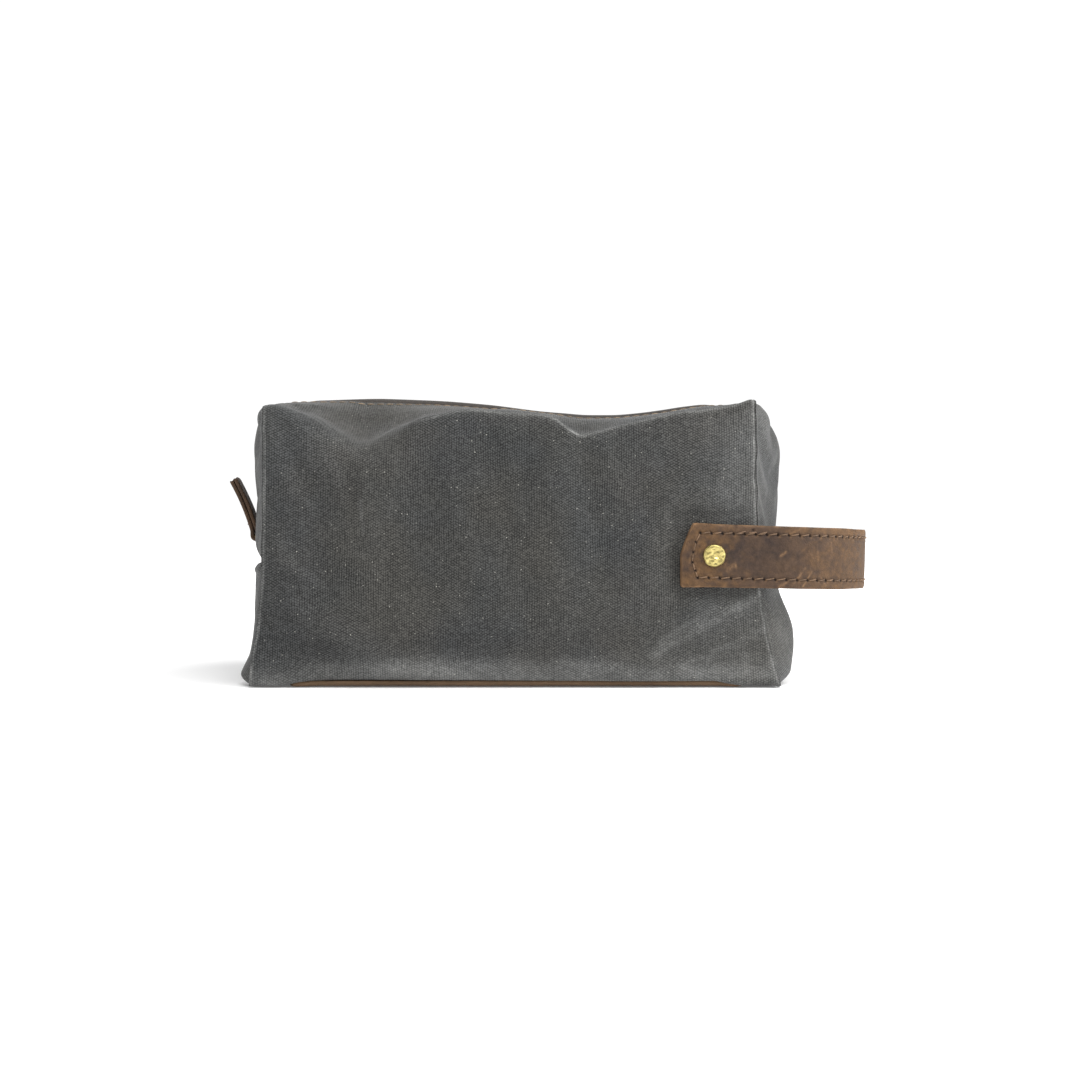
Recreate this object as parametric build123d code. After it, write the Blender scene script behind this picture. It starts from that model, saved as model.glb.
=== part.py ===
from build123d import *
import math
import os

# A soft box-shaped wash bag in waxed canvas: a leather base patch, a long metal zipper that runs
# over the top and part way down both ends, a leather zipper pull, and a riveted leather carry loop
# round the right-hand end. Millimetres, +Z up, origin in the middle of the underside, front at -Y,
# left at -X.

# ---- body ----------------------------------------------------------------------------------
DEPTH = 112.0            # over the two canvas walls
HALF_D = DEPTH / 2
WALL_TOP = 119.6
WALL_BOTTOM = 1.9        # above the leather patch
HALF_LEN_BOTTOM = 114.0  # wall, middle to bottom corner
HALF_LEN_TOP = 105.0     # wall, middle to top corner
CANVAS_T = 1.0
GAP = 0.1                # working gap between neighbouring soft pieces
INSIDE_Y = HALF_D - CANVAS_T - GAP  # reach of the pieces that fit between the walls

TOP_Z = 120.0            # underside of the canvas top flaps at their outer edge
CROWN = 5.4              # the flaps rise this much towards the zipper
FLAP_HALF_LEN = 103.0
FLAP_EDGE_Y = 7.5        # canvas edge either side of the zipper

# Apex line of each bulged end: (height, distance from the middle of the bag).
# The first two stations bound the lower panel, the last three the upper one.
LEFT_APEX = [(3.0, 119.5), (50.9, 117.0), (51.1, 117.0), (106.0, 123.9), (119.9, 114.0)]
RIGHT_APEX = [(3.0, 126.0), (50.9, 119.0), (51.1, 119.0), (104.0, 122.6), (119.9, 111.0)]

# side, direction along X, apex line, where the teeth stop in the end's zipper frame
ENDS = [
    ("left", -1, LEFT_APEX, 55.0),
    ("right", 1, RIGHT_APEX, 52.0),
]

RIVET_X, RIVET_Z = 84.4, 56.6
SHANK_HOLE_R = 1.68


# ---- helpers -------------------------------------------------------------------------------
def save(name, shape):
    export_step(shape, f"parts/{name}.step")


def save_front_back(front_name, back_name, front):
    """Save a front piece and its mirror image at the back."""
    save(front_name, front)
    save(back_name, mirror_y(front))


def box(x0, x1, y0, y1, z0, z1):
    """Box given by its limits."""
    return Pos((x0 + x1) / 2, (y0 + y1) / 2, (z0 + z1) / 2) * Box(x1 - x0, y1 - y0, z1 - z0)


def block(half_x, half_y, z0, z1):
    """Box centred on the Z axis."""
    return box(-half_x, half_x, -half_y, half_y, z0, z1)


def y_slice(shape, y0, y1):
    """The part of a shape between y0 and y1."""
    return shape & box(-140, 140, y0, y1, 0, 140)


def group(solids):
    return Compound(children=list(solids))


def mirror_y(shape):
    return mirror(shape, about=Plane.XZ)


def spaced(start, stop, pitch):
    """Centres of equal steps from start to stop, each step at least one pitch long."""
    count = int((stop - start) / pitch)
    return [start + (i + 0.5) * (stop - start) / count for i in range(count)]


def corner_x(z):
    """Distance from the middle to the side edge of the front and back walls at height z."""
    t = (z - WALL_BOTTOM) / (WALL_TOP - WALL_BOTTOM)
    return HALF_LEN_BOTTOM + (HALF_LEN_TOP - HALF_LEN_BOTTOM) * t


def apex_x(line, z):
    """Distance from the middle to an end's apex line at height z."""
    for (z0, x0), (z1, x1) in zip(line, line[1:]):
        if z0 <= z <= z1:
            return x0 + (x1 - x0) * (z - z0) / (z1 - z0)
    raise ValueError(f"height {z} is off the apex line")


def end_lean(line):
    """Outward lean, in degrees, of the long span of an end's upper panel."""
    (z0, x0), (z1, x1) = line[2], line[3]
    return math.degrees(math.atan2(x1 - x0, z1 - z0))


# ---- canvas walls and base -----------------------------------------------------------------
def front_wall():
    profile = Plane.XZ * Polygon(
        (-HALF_LEN_BOTTOM, WALL_BOTTOM), (HALF_LEN_BOTTOM, WALL_BOTTOM),
        (HALF_LEN_TOP, WALL_TOP), (-HALF_LEN_TOP, WALL_TOP), align=None)
    wall = extrude(profile, CANVAS_T / 2, both=True)
    rivet_hole = Pos(RIVET_X, -HALF_D, RIVET_Z) * Rot(90, 0, 0) * Cylinder(SHANK_HOLE_R, 20)
    return Pos(0, -HALF_D + CANVAS_T / 2, 0) * wall - rivet_hole


def canvas_base():
    return block(HALF_LEN_BOTTOM - CANVAS_T - GAP, INSIDE_Y, WALL_BOTTOM, WALL_BOTTOM + CANVAS_T)


# ---- leather base patch --------------------------------------------------------------------
PATCH_T = 1.8
PATCH_HALF_X = 98.0
PATCH_HALF_Y = 53.0
BASE_STITCH_INSET = 4.0
BASE_STITCH_X = PATCH_HALF_X - BASE_STITCH_INSET
BASE_STITCH_Y = PATCH_HALF_Y - BASE_STITCH_INSET
BASE_STITCH_PITCH = 4.4
BASE_STITCH_HALF_LEN = 1.7
BASE_STITCH_HALF_W = 0.4
BASE_STITCH_Z = (0.1, 0.6)
BASE_CORNER_CLEAR = 2.0  # the stitch rows stop this far short of the corners
CHANNEL_HALF_W = 0.6
CHANNEL_DEPTH = 0.7


def base_patch():
    """Leather patch with a stitching channel cut round its underside."""
    x, y, half = BASE_STITCH_X, BASE_STITCH_Y, CHANNEL_HALF_W
    channel = block(x + half, y + half, -1, CHANNEL_DEPTH) - block(x - half, y - half, -2, 1.5)
    return block(PATCH_HALF_X, PATCH_HALF_Y, 0, PATCH_T) - channel


def base_stitching():
    half_len, half_w = BASE_STITCH_HALF_LEN, BASE_STITCH_HALF_W
    end_x = BASE_STITCH_X - BASE_CORNER_CLEAR
    end_y = BASE_STITCH_Y - BASE_CORNER_CLEAR
    along_x = block(half_len, half_w, *BASE_STITCH_Z)
    along_y = block(half_w, half_len, *BASE_STITCH_Z)
    stitches = [Pos(x, y, 0) * along_x for x in spaced(-end_x, end_x, BASE_STITCH_PITCH)
                for y in (-BASE_STITCH_Y, BASE_STITCH_Y)]
    stitches += [Pos(x, y, 0) * along_y for y in spaced(-end_y, end_y, BASE_STITCH_PITCH)
                 for x in (-BASE_STITCH_X, BASE_STITCH_X)]
    return group(stitches)


# ---- bulged canvas ends --------------------------------------------------------------------
def end_section(sign, z, apex):
    """One level of a bulged end: a strip CANVAS_T thick that arches out to the apex."""
    corner = corner_x(z)
    outer = ThreePointArc(
        (sign * corner, -INSIDE_Y, z), (sign * apex, 0, z), (sign * corner, INSIDE_Y, z))
    inner = ThreePointArc(
        (sign * (corner - CANVAS_T), INSIDE_Y, z),
        (sign * (apex - CANVAS_T), 0, z),
        (sign * (corner - CANVAS_T), -INSIDE_Y, z))
    back_edge = Line(outer @ 1, inner @ 0)
    front_edge = Line(inner @ 1, outer @ 0)
    return make_face(Wire([outer, back_edge, inner, front_edge]).edges())


def end_panel(sign, stations):
    """Ruled lofts between neighbouring stations of an apex line, joined."""
    panel = None
    for (z0, x0), (z1, x1) in zip(stations, stations[1:]):
        piece = loft([end_section(sign, z0, x0), end_section(sign, z1, x1)], ruled=True)
        panel = piece if panel is None else panel + piece
    return panel


def save_canvas_ends():
    for side, sign, line, _ in ENDS:
        save(f"canvas_{side}_end_lower", end_panel(sign, line[:2]))
        upper = end_panel(sign, line[2:])
        save(f"canvas_{side}_end_upper_front", y_slice(upper, -80, -FLAP_EDGE_Y))
        save(f"canvas_{side}_end_upper_back", y_slice(upper, FLAP_EDGE_Y, 80))


# ---- top flaps and lining ------------------------------------------------------------------
LINING_T = 0.5
TUB_HALF_X = 103.0
TUB_HALF_Y = 53.5
TUB_BOTTOM = 3.2
TUB_TOP = 116.5
LINING_FLAP_OUT_Y = 53.0
LINING_FLAP_TAPE_GAP = 0.6   # in Y, from the flap to the zipper tape
LINING_FLAP_DROP_OUT = 2.1   # below the canvas flap's underside levels, outer edge
LINING_FLAP_DROP_IN = 3.2    # the same, inner edge
TAPE_OUT_Y = 14.0


def sheet(y0, z0, y1, z1, thickness, half_len):
    """A flat strip along X whose underside runs from (y0, z0) to (y1, z1)."""
    profile = Polygon((y0, z0), (y1, z1), (y1, z1 + thickness), (y0, z0 + thickness), align=None)
    return extrude(Plane.YZ * profile, half_len, both=True)


def canvas_flap():
    return sheet(-INSIDE_Y, TOP_Z, -FLAP_EDGE_Y, TOP_Z + CROWN, CANVAS_T, FLAP_HALF_LEN)


def lining_tub():
    """Open-topped lining box."""
    hollow = block(TUB_HALF_X - LINING_T, TUB_HALF_Y - LINING_T, TUB_BOTTOM + LINING_T, 120)
    return block(TUB_HALF_X, TUB_HALF_Y, TUB_BOTTOM, TUB_TOP) - hollow


def lining_flap():
    return sheet(
        -LINING_FLAP_OUT_Y, TOP_Z - LINING_FLAP_DROP_OUT,
        -TAPE_OUT_Y - LINING_FLAP_TAPE_GAP, TOP_Z + CROWN - LINING_FLAP_DROP_IN,
        LINING_T, FLAP_HALF_LEN - 1)


# ---- zipper tape and teeth -----------------------------------------------------------------
# The zipper's own frame: tape in the YZ plane, +Z along the zipper. On the ends its origin is at
# the foot of the upper panel and +Z runs up the zipper.
TAPE_T = 0.6
TAPE_IN_Y = 3.2
TAPE_TOP_Z = 124.2       # middle of the tape along the top run
TAPE_INSET = 2.6         # tape lies this far inside the apex line
TAPE_FOOT_RISE = 0.5     # end tape starts this far above the foot of the upper panel
SHOULDER_INSET = 6.0     # tape reaches the top level this far inside the apex line
TAPE_JOIN_GAP = 0.6      # between end tape and top tape
TOOTH_PITCH = 2.8
TOOTH_LEN = 1.5          # along the zipper
TOOTH_IN_Y = 0.5
TOOTH_OUT_Y = 3.1
TOOTH_HALF_T = 1.3
NOSE_LEN = 0.9           # thinner part of the tooth nearest the middle
NOSE_THINNING = 0.7      # nose thickness over tooth thickness
END_TEETH_START = 4.5
ROW_STAGGER = TOOTH_PITCH / 4    # front row ahead of the back row


def tooth_row(start, stop):
    """The back row of teeth along +Z from start to stop, in the zipper's own frame."""
    nose_y = TOOTH_IN_Y + NOSE_LEN
    nose_half_t = TOOTH_HALF_T * NOSE_THINNING
    teeth = []
    for z in spaced(start, stop, TOOTH_PITCH):
        z0, z1 = z - TOOTH_LEN / 2, z + TOOTH_LEN / 2
        clamp = box(-TOOTH_HALF_T, TOOTH_HALF_T, nose_y, TOOTH_OUT_Y, z0, z1)
        nose = box(-nose_half_t, nose_half_t, TOOTH_IN_Y, nose_y, z0, z1)
        teeth.append(clamp + nose)
    return teeth


def save_top_zipper():
    half = TAPE_T / 2
    tape = box(-FLAP_HALF_LEN, FLAP_HALF_LEN, -TAPE_OUT_Y, -TAPE_IN_Y,
               TAPE_TOP_Z - half, TAPE_TOP_Z + half)
    save_front_back("zipper_tape_front_top", "zipper_tape_back_top", tape)
    lay_down = Pos(0, 0, TAPE_TOP_Z) * Rot(0, 90, 0)
    back = [lay_down * tooth for tooth in tooth_row(-FLAP_HALF_LEN + 1, FLAP_HALF_LEN - 1)]
    save("zipper_teeth_back_top", group(back))
    front = [Pos(ROW_STAGGER, 0, 0) * mirror_y(tooth) for tooth in back]
    save("zipper_teeth_front_top", group(front))


def end_frame(sign, line):
    """Location of the zipper's own frame on an end."""
    z, x = line[2]
    return Pos(sign * (x - TAPE_INSET), 0, z) * Rot(0, sign * end_lean(line), 0)


def end_tape(sign, line):
    """Front and back tapes up the end and over the shoulder to the top run."""
    (z0, x0), (z1, x1), (_, x2) = line[2:]
    path = [
        (x0 - TAPE_INSET, z0 + TAPE_FOOT_RISE),
        (x1 - TAPE_INSET, z1),
        (x2 - SHOULDER_INSET, TAPE_TOP_Z),
        (FLAP_HALF_LEN + TAPE_JOIN_GAP, TAPE_TOP_Z),
    ]
    half = TAPE_T / 2
    outer, inner = [], []
    for i, (x, z) in enumerate(path):
        before_x, before_z = path[max(i - 1, 0)]
        after_x, after_z = path[min(i + 1, len(path) - 1)]
        dx, dz = after_x - before_x, after_z - before_z
        length = math.hypot(dx, dz)
        normal_x, normal_z = dz / length, -dx / length
        outer.append((sign * (x + normal_x * half), z + normal_z * half))
        inner.append((sign * (x - normal_x * half), z - normal_z * half))
    strip = extrude(Plane.XZ * Polygon(*(outer + inner[::-1]), align=None), 30, both=True)
    tapes = (y_slice(strip, -TAPE_OUT_Y, -TAPE_IN_Y), y_slice(strip, TAPE_IN_Y, TAPE_OUT_Y))
    return group(solid for tape in tapes for solid in tape.solids())


def end_teeth(frame, stop):
    back = tooth_row(END_TEETH_START, stop)
    front = [Pos(0, 0, ROW_STAGGER) * mirror_y(tooth) for tooth in back]
    return group([frame * tooth for tooth in back + front])


def save_end_zippers():
    for side, sign, line, teeth_stop in ENDS:
        save(f"zipper_tape_{side}_end", end_tape(sign, line))
        save(f"zipper_teeth_{side}_end", end_teeth(end_frame(sign, line), teeth_stop))


# ---- stitching along the canvas edges beside the zipper ------------------------------------
EDGE_STITCH_Y = FLAP_EDGE_Y + 2.2
EDGE_STITCH_PITCH = 4.4
EDGE_STITCH_LEN, EDGE_STITCH_W, EDGE_STITCH_T = 3.3, 0.7, 0.4
TOP_STITCH_COUNT = 45
TOP_STITCH_LIFT = 0.3    # stitch centre above the flap
END_STITCH_COUNT = 11
END_STITCH_START = 5     # above the foot of the upper panel
END_STITCH_LIFT = 0.4    # stitch centre outside the end panel


def top_stitch_row():
    """Stitches on the front flap."""
    flap_width = INSIDE_Y - FLAP_EDGE_Y
    slope = math.degrees(math.atan2(CROWN, flap_width))
    flap_z = TOP_Z + CANVAS_T + CROWN * (INSIDE_Y - EDGE_STITCH_Y) / flap_width
    stitches = []
    for i in range(TOP_STITCH_COUNT):
        x = (i - TOP_STITCH_COUNT // 2) * EDGE_STITCH_PITCH
        place = Pos(x, -EDGE_STITCH_Y, flap_z + TOP_STITCH_LIFT) * Rot(slope, 0, 0)
        stitches.append(place * Box(EDGE_STITCH_LEN, EDGE_STITCH_W, EDGE_STITCH_T))
    return group(stitches)


def end_stitching():
    """Front and back rows on both ends, turned to follow the bulge."""
    stitches = []
    for _, sign, line, _ in ENDS:
        for i in range(END_STITCH_COUNT):
            z = line[2][0] + END_STITCH_START + i * EDGE_STITCH_PITCH
            apex = apex_x(line, z)
            bulge = apex - corner_x(z)
            radius = (INSIDE_Y ** 2 + bulge ** 2) / (2 * bulge)
            turn = math.degrees(math.asin(EDGE_STITCH_Y / radius))
            x = apex - radius + math.sqrt(radius ** 2 - EDGE_STITCH_Y ** 2) + END_STITCH_LIFT
            place = Pos(sign * x, -EDGE_STITCH_Y, z) * Rot(0, sign * end_lean(line), -sign * turn)
            stitch = place * Box(EDGE_STITCH_T, EDGE_STITCH_W, EDGE_STITCH_LEN)
            stitches += [stitch, mirror_y(stitch)]
    return group(stitches)


# ---- stops and slider, in the zipper's own frame; local -X is outward on the left end ------
LEFT_FRAME = end_frame(-1, LEFT_APEX)
RIGHT_FRAME = end_frame(1, RIGHT_APEX)
SLIDER_START = 3.2
SLIDER_LEN = 11.0
SLIDER_END = SLIDER_START + SLIDER_LEN
SLIDER_HALF_W = 4.2
PLATE_IN, PLATE_OUT = 1.7, 2.8   # plate faces, from the tape
PIVOT_X = -3.7
PIVOT_Z = (SLIDER_START + SLIDER_END) / 2


def save_stops():
    """Two small clamps below the slider, one wide clamp on the right end."""
    small = box(-1.3, 1.3, 0.7, 3.0, 1.0, 3.0)
    save("zipper_top_stops", group([LEFT_FRAME * small, LEFT_FRAME * mirror_y(small)]))
    save("zipper_bottom_stop", RIGHT_FRAME * block(1.5, 3.0, 1.0, 4.0))


def zipper_slider():
    """Two plates joined by a post, with side flanges and a bridge for the ring."""
    start, end, half_w = SLIDER_START, SLIDER_END, SLIDER_HALF_W
    outer_plate = box(-PLATE_OUT, -PLATE_IN, -half_w, half_w, start, end)
    inner_plate = box(PLATE_IN, PLATE_OUT, -half_w, half_w, start, end)
    post = block(PLATE_IN, 0.35, start + 0.3, start + 3.3)
    bridge = box(-5.4, -2.7, -1.2, 1.2, PIVOT_Z - 3.2, PIVOT_Z + 3.2)
    bridge -= box(-4.6, -2.8, -2, 2, PIVOT_Z - 1.9, PIVOT_Z + 1.9)
    slider = outer_plate + inner_plate + post + bridge
    for x0, x1 in ((-1.8, -0.6), (0.6, 1.8)):
        for y0, y1 in ((-half_w, -3.45), (3.45, half_w)):
            slider = slider + box(x0, x1, y0, y1, start + 2.5, end)
    return LEFT_FRAME * slider


# ---- pull ring and leather pull ------------------------------------------------------------
RING_LEN = 7.0
RING_HALF_W = 5.2
RING_WIRE_R = 0.6
RING_ANGLE = 22.8        # ring, out from the zipper face at rest
RING_PLACE = LEFT_FRAME * Pos(PIVOT_X, 0, PIVOT_Z) * Rot(0, -RING_ANGLE, 0)

PULL_W = 8.6
PULL_T = 1.8
PULL_LEN = 29.0
PULL_ANGLE = 15.2        # leather pull, out from the zipper face at rest
PULL_HALF_GAP = 0.1      # half the space between the two leather layers
PULL_FOLD_R = RING_WIRE_R + 0.15
PULL_STITCH_Z = 6.5
PULL_STITCH_YS = (-2.2, 0, 2.2)
# The pull hangs from the ring's far bar; its angle is from the zipper face, not the ring.
PULL_PLACE = RING_PLACE * Pos(0, 0, RING_LEN) * Rot(0, RING_ANGLE - PULL_ANGLE, 0)


def bar(start, end):
    """Straight length of ring wire."""
    start, end = Vector(*start), Vector(*end)
    along = end - start
    middle = (start + end) * 0.5
    return Plane(origin=middle, z_dir=along) * Cylinder(RING_WIRE_R, along.length)


def pull_ring():
    """Rectangular wire ring with ball corners."""
    half_w = RING_HALF_W
    ring = bar((0, -half_w, 0), (0, half_w, 0))
    ring = ring + bar((0, -half_w, RING_LEN), (0, half_w, RING_LEN))
    for y in (-half_w, half_w):
        ring = ring + bar((0, y, 0), (0, y, RING_LEN))
        ring = ring + Pos(0, y, 0) * Sphere(RING_WIRE_R)
        ring = ring + Pos(0, y, RING_LEN) * Sphere(RING_WIRE_R)
    return RING_PLACE * ring


def pull_cross_rods(radius, length):
    """Rods through both leather layers at the stitch places."""
    return [Pos(0, y, PULL_STITCH_Z) * Rot(0, 90, 0) * Cylinder(radius, length)
            for y in PULL_STITCH_YS]


def leather_pull():
    """One strip folded round the ring's far bar, two layers below the fold."""
    half_w = PULL_W / 2
    near, far = PULL_HALF_GAP, PULL_HALF_GAP + PULL_T
    layer_a = box(near, far, -half_w, half_w, 2.2, PULL_LEN)
    layer_b = box(-far, -near, -half_w, half_w, 2.2, PULL_LEN)
    bar_room = Rot(90, 0, 0) * Cylinder(PULL_FOLD_R, PULL_W + 2)
    fold = Rot(90, 0, 0) * Cylinder(PULL_FOLD_R + PULL_T, PULL_W) - bar_room
    neck = block(far, half_w, 0.9, 2.4) - bar_room
    pull = fold + neck + layer_a + layer_b
    for hole in pull_cross_rods(0.45, 12):
        pull = pull - hole
    return PULL_PLACE * pull


def pull_thread():
    rods = pull_cross_rods(0.4, 2 * (PULL_HALF_GAP + PULL_T) + 0.6)
    return group([PULL_PLACE * rod for rod in rods])


# ---- carry loop ----------------------------------------------------------------------------
STRAP_W = 26.0
STRAP_T = 1.6
STRAP_TAIL = 13.7        # strap end beyond the rivet
STRAP_BEND_X = 113.0     # the strap leaves the wall here
LOOP_REACH = 49.65       # from there to the outside of the loop
STRAP_TILT = 1.5         # the loop droops by this many degrees at rest
INNER_STRAP_Y = HALF_D + 0.05
OUTER_STRAP_Y = INNER_STRAP_Y + STRAP_T + 0.1
LOOP_OUT_Y = OUTER_STRAP_Y + STRAP_T
TILT = Pos(RIVET_X, 0, RIVET_Z) * Rot(0, STRAP_TILT, 0) * Pos(-RIVET_X, 0, 0)

STRAP_STITCH_INSET = 3.6
STRAP_STITCH_PITCH = 4.7
STITCH_PATH_Y = LOOP_OUT_Y + 0.3
STITCH_PATH_REACH = LOOP_REACH + 0.3
ANGLE_STEP = 0.002       # radians, for measuring along the ellipse


def ribbon(y_in, y_out):
    """A U-shaped strip seen from above: two straight ends along the walls and a half ellipse."""
    reach_out = LOOP_REACH - (LOOP_OUT_Y - y_out)
    reach_in = LOOP_REACH - (LOOP_OUT_Y - y_in)
    tail_x = RIVET_X - STRAP_TAIL
    mid_x = (tail_x + STRAP_BEND_X) / 2
    length = STRAP_BEND_X - tail_x
    bend = Pos(STRAP_BEND_X, 0)
    solid = Pos(mid_x, 0) * Rectangle(length, 2 * y_out) + bend * Ellipse(reach_out, y_out)
    hollow = Pos(mid_x - 15, 0) * Rectangle(length + 30, 2 * y_in) + bend * Ellipse(reach_in, y_in)
    return extrude(solid - hollow, STRAP_W / 2, both=True)


def strap(y_in):
    """One strap layer, its ends trimmed with a slanted upper corner."""
    edge = STRAP_W / 2 + 0.5
    outline = Polygon((-STRAP_TAIL, -edge), (-STRAP_TAIL, 0.2), (-8.8, edge),
                      (100, edge), (100, -edge), align=None)
    trim = Pos(RIVET_X, 0, 0) * extrude(Plane.XZ * outline, 80, both=True)
    shank_hole = Pos(RIVET_X, 0, 0) * Rot(90, 0, 0) * Cylinder(SHANK_HOLE_R, 200)
    return TILT * ((ribbon(y_in, y_in + STRAP_T) & trim) - shank_hole)


def ellipse_step(angle):
    """Length of one angle step along the stitch path's ellipse."""
    return ANGLE_STEP * math.hypot(
        STITCH_PATH_REACH * math.sin(angle), STITCH_PATH_Y * math.cos(angle))


def loop_point(distance):
    """Place (x, y, heading) on the stitch path at a distance from the front rivet."""
    travelled = STRAP_BEND_X - RIVET_X
    if distance < travelled:
        return RIVET_X + distance, -STITCH_PATH_Y, 0.0
    angle = -math.pi / 2
    while travelled < distance:
        travelled += ellipse_step(angle)
        angle += ANGLE_STEP
    along_x = STITCH_PATH_REACH * math.cos(angle)
    heading = math.atan2(STITCH_PATH_Y * math.cos(angle), -STITCH_PATH_REACH * math.sin(angle))
    return STRAP_BEND_X + along_x, STITCH_PATH_Y * math.sin(angle), math.degrees(heading)


def half_loop_length():
    """Stitch path length from the front rivet to the tip of the loop."""
    length = STRAP_BEND_X - RIVET_X
    angle = -math.pi / 2
    while angle < 0:
        length += ellipse_step(angle)
        angle += ANGLE_STEP
    return length


def handle_stitching():
    """Two rows on the outside of the loop, set out from its tip to just past the rivets."""
    half_loop = half_loop_length()
    row_z = STRAP_W / 2 - STRAP_STITCH_INSET
    stitches = []
    for i in range(int((half_loop + 5) / STRAP_STITCH_PITCH) + 1):
        x, y, heading = loop_point(half_loop - (i + 0.5) * STRAP_STITCH_PITCH)
        for z in (row_z, -row_z):
            stitch = Pos(x, y, z) * Rot(0, 0, heading) * Box(3.6, 0.5, 0.9)
            stitches += [TILT * stitch, TILT * mirror_y(stitch)]
    return group(stitches)


# ---- rivets --------------------------------------------------------------------------------
HEAD_R = 4.75
HEAD_T = 1.3
HEAD_CHAMFER = 0.5
SHANK_R = 1.6
BURR_R = 4.5
BURR_T = 1.0
HEAD_Y = -(LOOP_OUT_Y + 0.08)    # underside of the front head
BURR_Y = -INSIDE_Y               # face of the front burr against the wall


def rivet_place(y):
    """On the front rivet's axis, local +Z into the bag."""
    return Pos(RIVET_X, y, RIVET_Z) * Rot(-90, 0, 0)


def front_rivet():
    head = rivet_place(HEAD_Y - HEAD_T / 2) * Cylinder(HEAD_R, HEAD_T)
    head = chamfer(head.edges().group_by(Axis.Y)[0], HEAD_CHAMFER)
    tip_y = BURR_Y + BURR_T + 0.15
    return head + rivet_place((HEAD_Y + tip_y) / 2) * Cylinder(SHANK_R, tip_y - HEAD_Y)


def front_burr():
    """Washer on the shank, inside the wall."""
    washer = Cylinder(BURR_R, BURR_T) - Cylinder(SHANK_HOLE_R, BURR_T + 2)
    return rivet_place(BURR_Y + BURR_T / 2) * washer


# ---- build ---------------------------------------------------------------------------------
os.makedirs("parts", exist_ok=True)
save_front_back("canvas_front_wall", "canvas_back_wall", front_wall())
save("canvas_base", canvas_base())
save("leather_base_panel", base_patch())
save("base_stitching", base_stitching())
save_canvas_ends()
save_front_back("canvas_top_front", "canvas_top_back", canvas_flap())
save("lining_tub", lining_tub())
save_front_back("lining_top_front", "lining_top_back", lining_flap())
save_top_zipper()
save_end_zippers()
save_front_back("zipper_stitching_front", "zipper_stitching_back", top_stitch_row())
save("zipper_stitching_ends", end_stitching())
save_stops()
save("zipper_slider", zipper_slider())
save("slider_pull_ring", pull_ring())
save("leather_pull", leather_pull())
save("leather_pull_thread", pull_thread())
save("handle_inner_strap", strap(INNER_STRAP_Y))
save("handle_outer_strap", strap(OUTER_STRAP_Y))
save("handle_stitching", handle_stitching())
save_front_back("front_rivet", "back_rivet", front_rivet())
save_front_back("front_rivet_burr", "back_rivet_burr", front_burr())
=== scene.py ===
"""A waxed-canvas zip bag on a leather base, with a leather carry loop round its right end.

The bag lies along x with its front towards -y and stands on the floor at z = 0.
Shapes are drawn in millimetres; make_object turns them into metres.
"""
import math
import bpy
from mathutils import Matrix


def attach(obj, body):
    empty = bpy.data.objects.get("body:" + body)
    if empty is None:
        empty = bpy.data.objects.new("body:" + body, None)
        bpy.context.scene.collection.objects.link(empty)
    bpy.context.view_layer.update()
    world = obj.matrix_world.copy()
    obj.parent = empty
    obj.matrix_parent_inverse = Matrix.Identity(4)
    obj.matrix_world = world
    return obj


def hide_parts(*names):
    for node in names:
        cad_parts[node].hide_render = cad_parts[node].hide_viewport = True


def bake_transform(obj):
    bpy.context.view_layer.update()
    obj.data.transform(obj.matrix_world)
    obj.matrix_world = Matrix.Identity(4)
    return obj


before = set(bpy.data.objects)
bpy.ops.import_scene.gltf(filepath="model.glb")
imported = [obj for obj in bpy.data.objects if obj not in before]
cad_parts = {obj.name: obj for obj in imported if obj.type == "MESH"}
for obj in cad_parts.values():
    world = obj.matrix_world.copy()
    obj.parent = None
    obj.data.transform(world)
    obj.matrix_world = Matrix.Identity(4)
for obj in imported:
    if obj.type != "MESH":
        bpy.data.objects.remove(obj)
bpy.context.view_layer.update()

from types import SimpleNamespace

import bmesh
import bpy
import numpy as np
from mathutils import Vector

MM = 0.001
PI = math.pi
OUTWARD = {"left": -1, "right": 1}      # sign of x at each end
FACING = {"front": -1, "back": 1}       # sign of y on each face


# ---------------------------------------------------------------------------------------------
# Maths
# ---------------------------------------------------------------------------------------------
def value_noise(x, y, seed):
    """Smooth value noise, -1..1, the same every run."""
    x, y = np.broadcast_arrays(np.asarray(x, float), np.asarray(y, float))
    column, row = np.floor(x).astype(np.int64), np.floor(y).astype(np.int64)
    right, up = (t * t * t * (t * (t * 6 - 15) + 10) for t in (x - column, y - row))

    def corner(i, j):
        bits = ((column + i) * 374761393 + (row + j) * 668265263 + seed * 974634777) & 0xFFFFFFFF
        bits = ((bits ^ (bits >> 13)) * 1274126177) & 0xFFFFFFFF
        bits = bits ^ (bits >> 16)
        return (bits & 0xFFFF) / 32767.5 - 1

    low = corner(0, 0) * (1 - right) + corner(1, 0) * right
    high = corner(0, 1) * (1 - right) + corner(1, 1) * right
    return low * (1 - up) + high * up


def fractal(x, y, octaves, seed):
    """Octaves of value noise, each twice as fine and half as strong, scaled back to -1..1."""
    total, weight, strength = 0, 0, 1.0
    for k in range(octaves):
        layer = value_noise(x * 2 ** k + 17.3 * k, y * 2 ** k - 9.1 * k, seed + k)
        total = total + strength * layer
        weight += strength
        strength *= 0.5
    return total / weight


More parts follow.
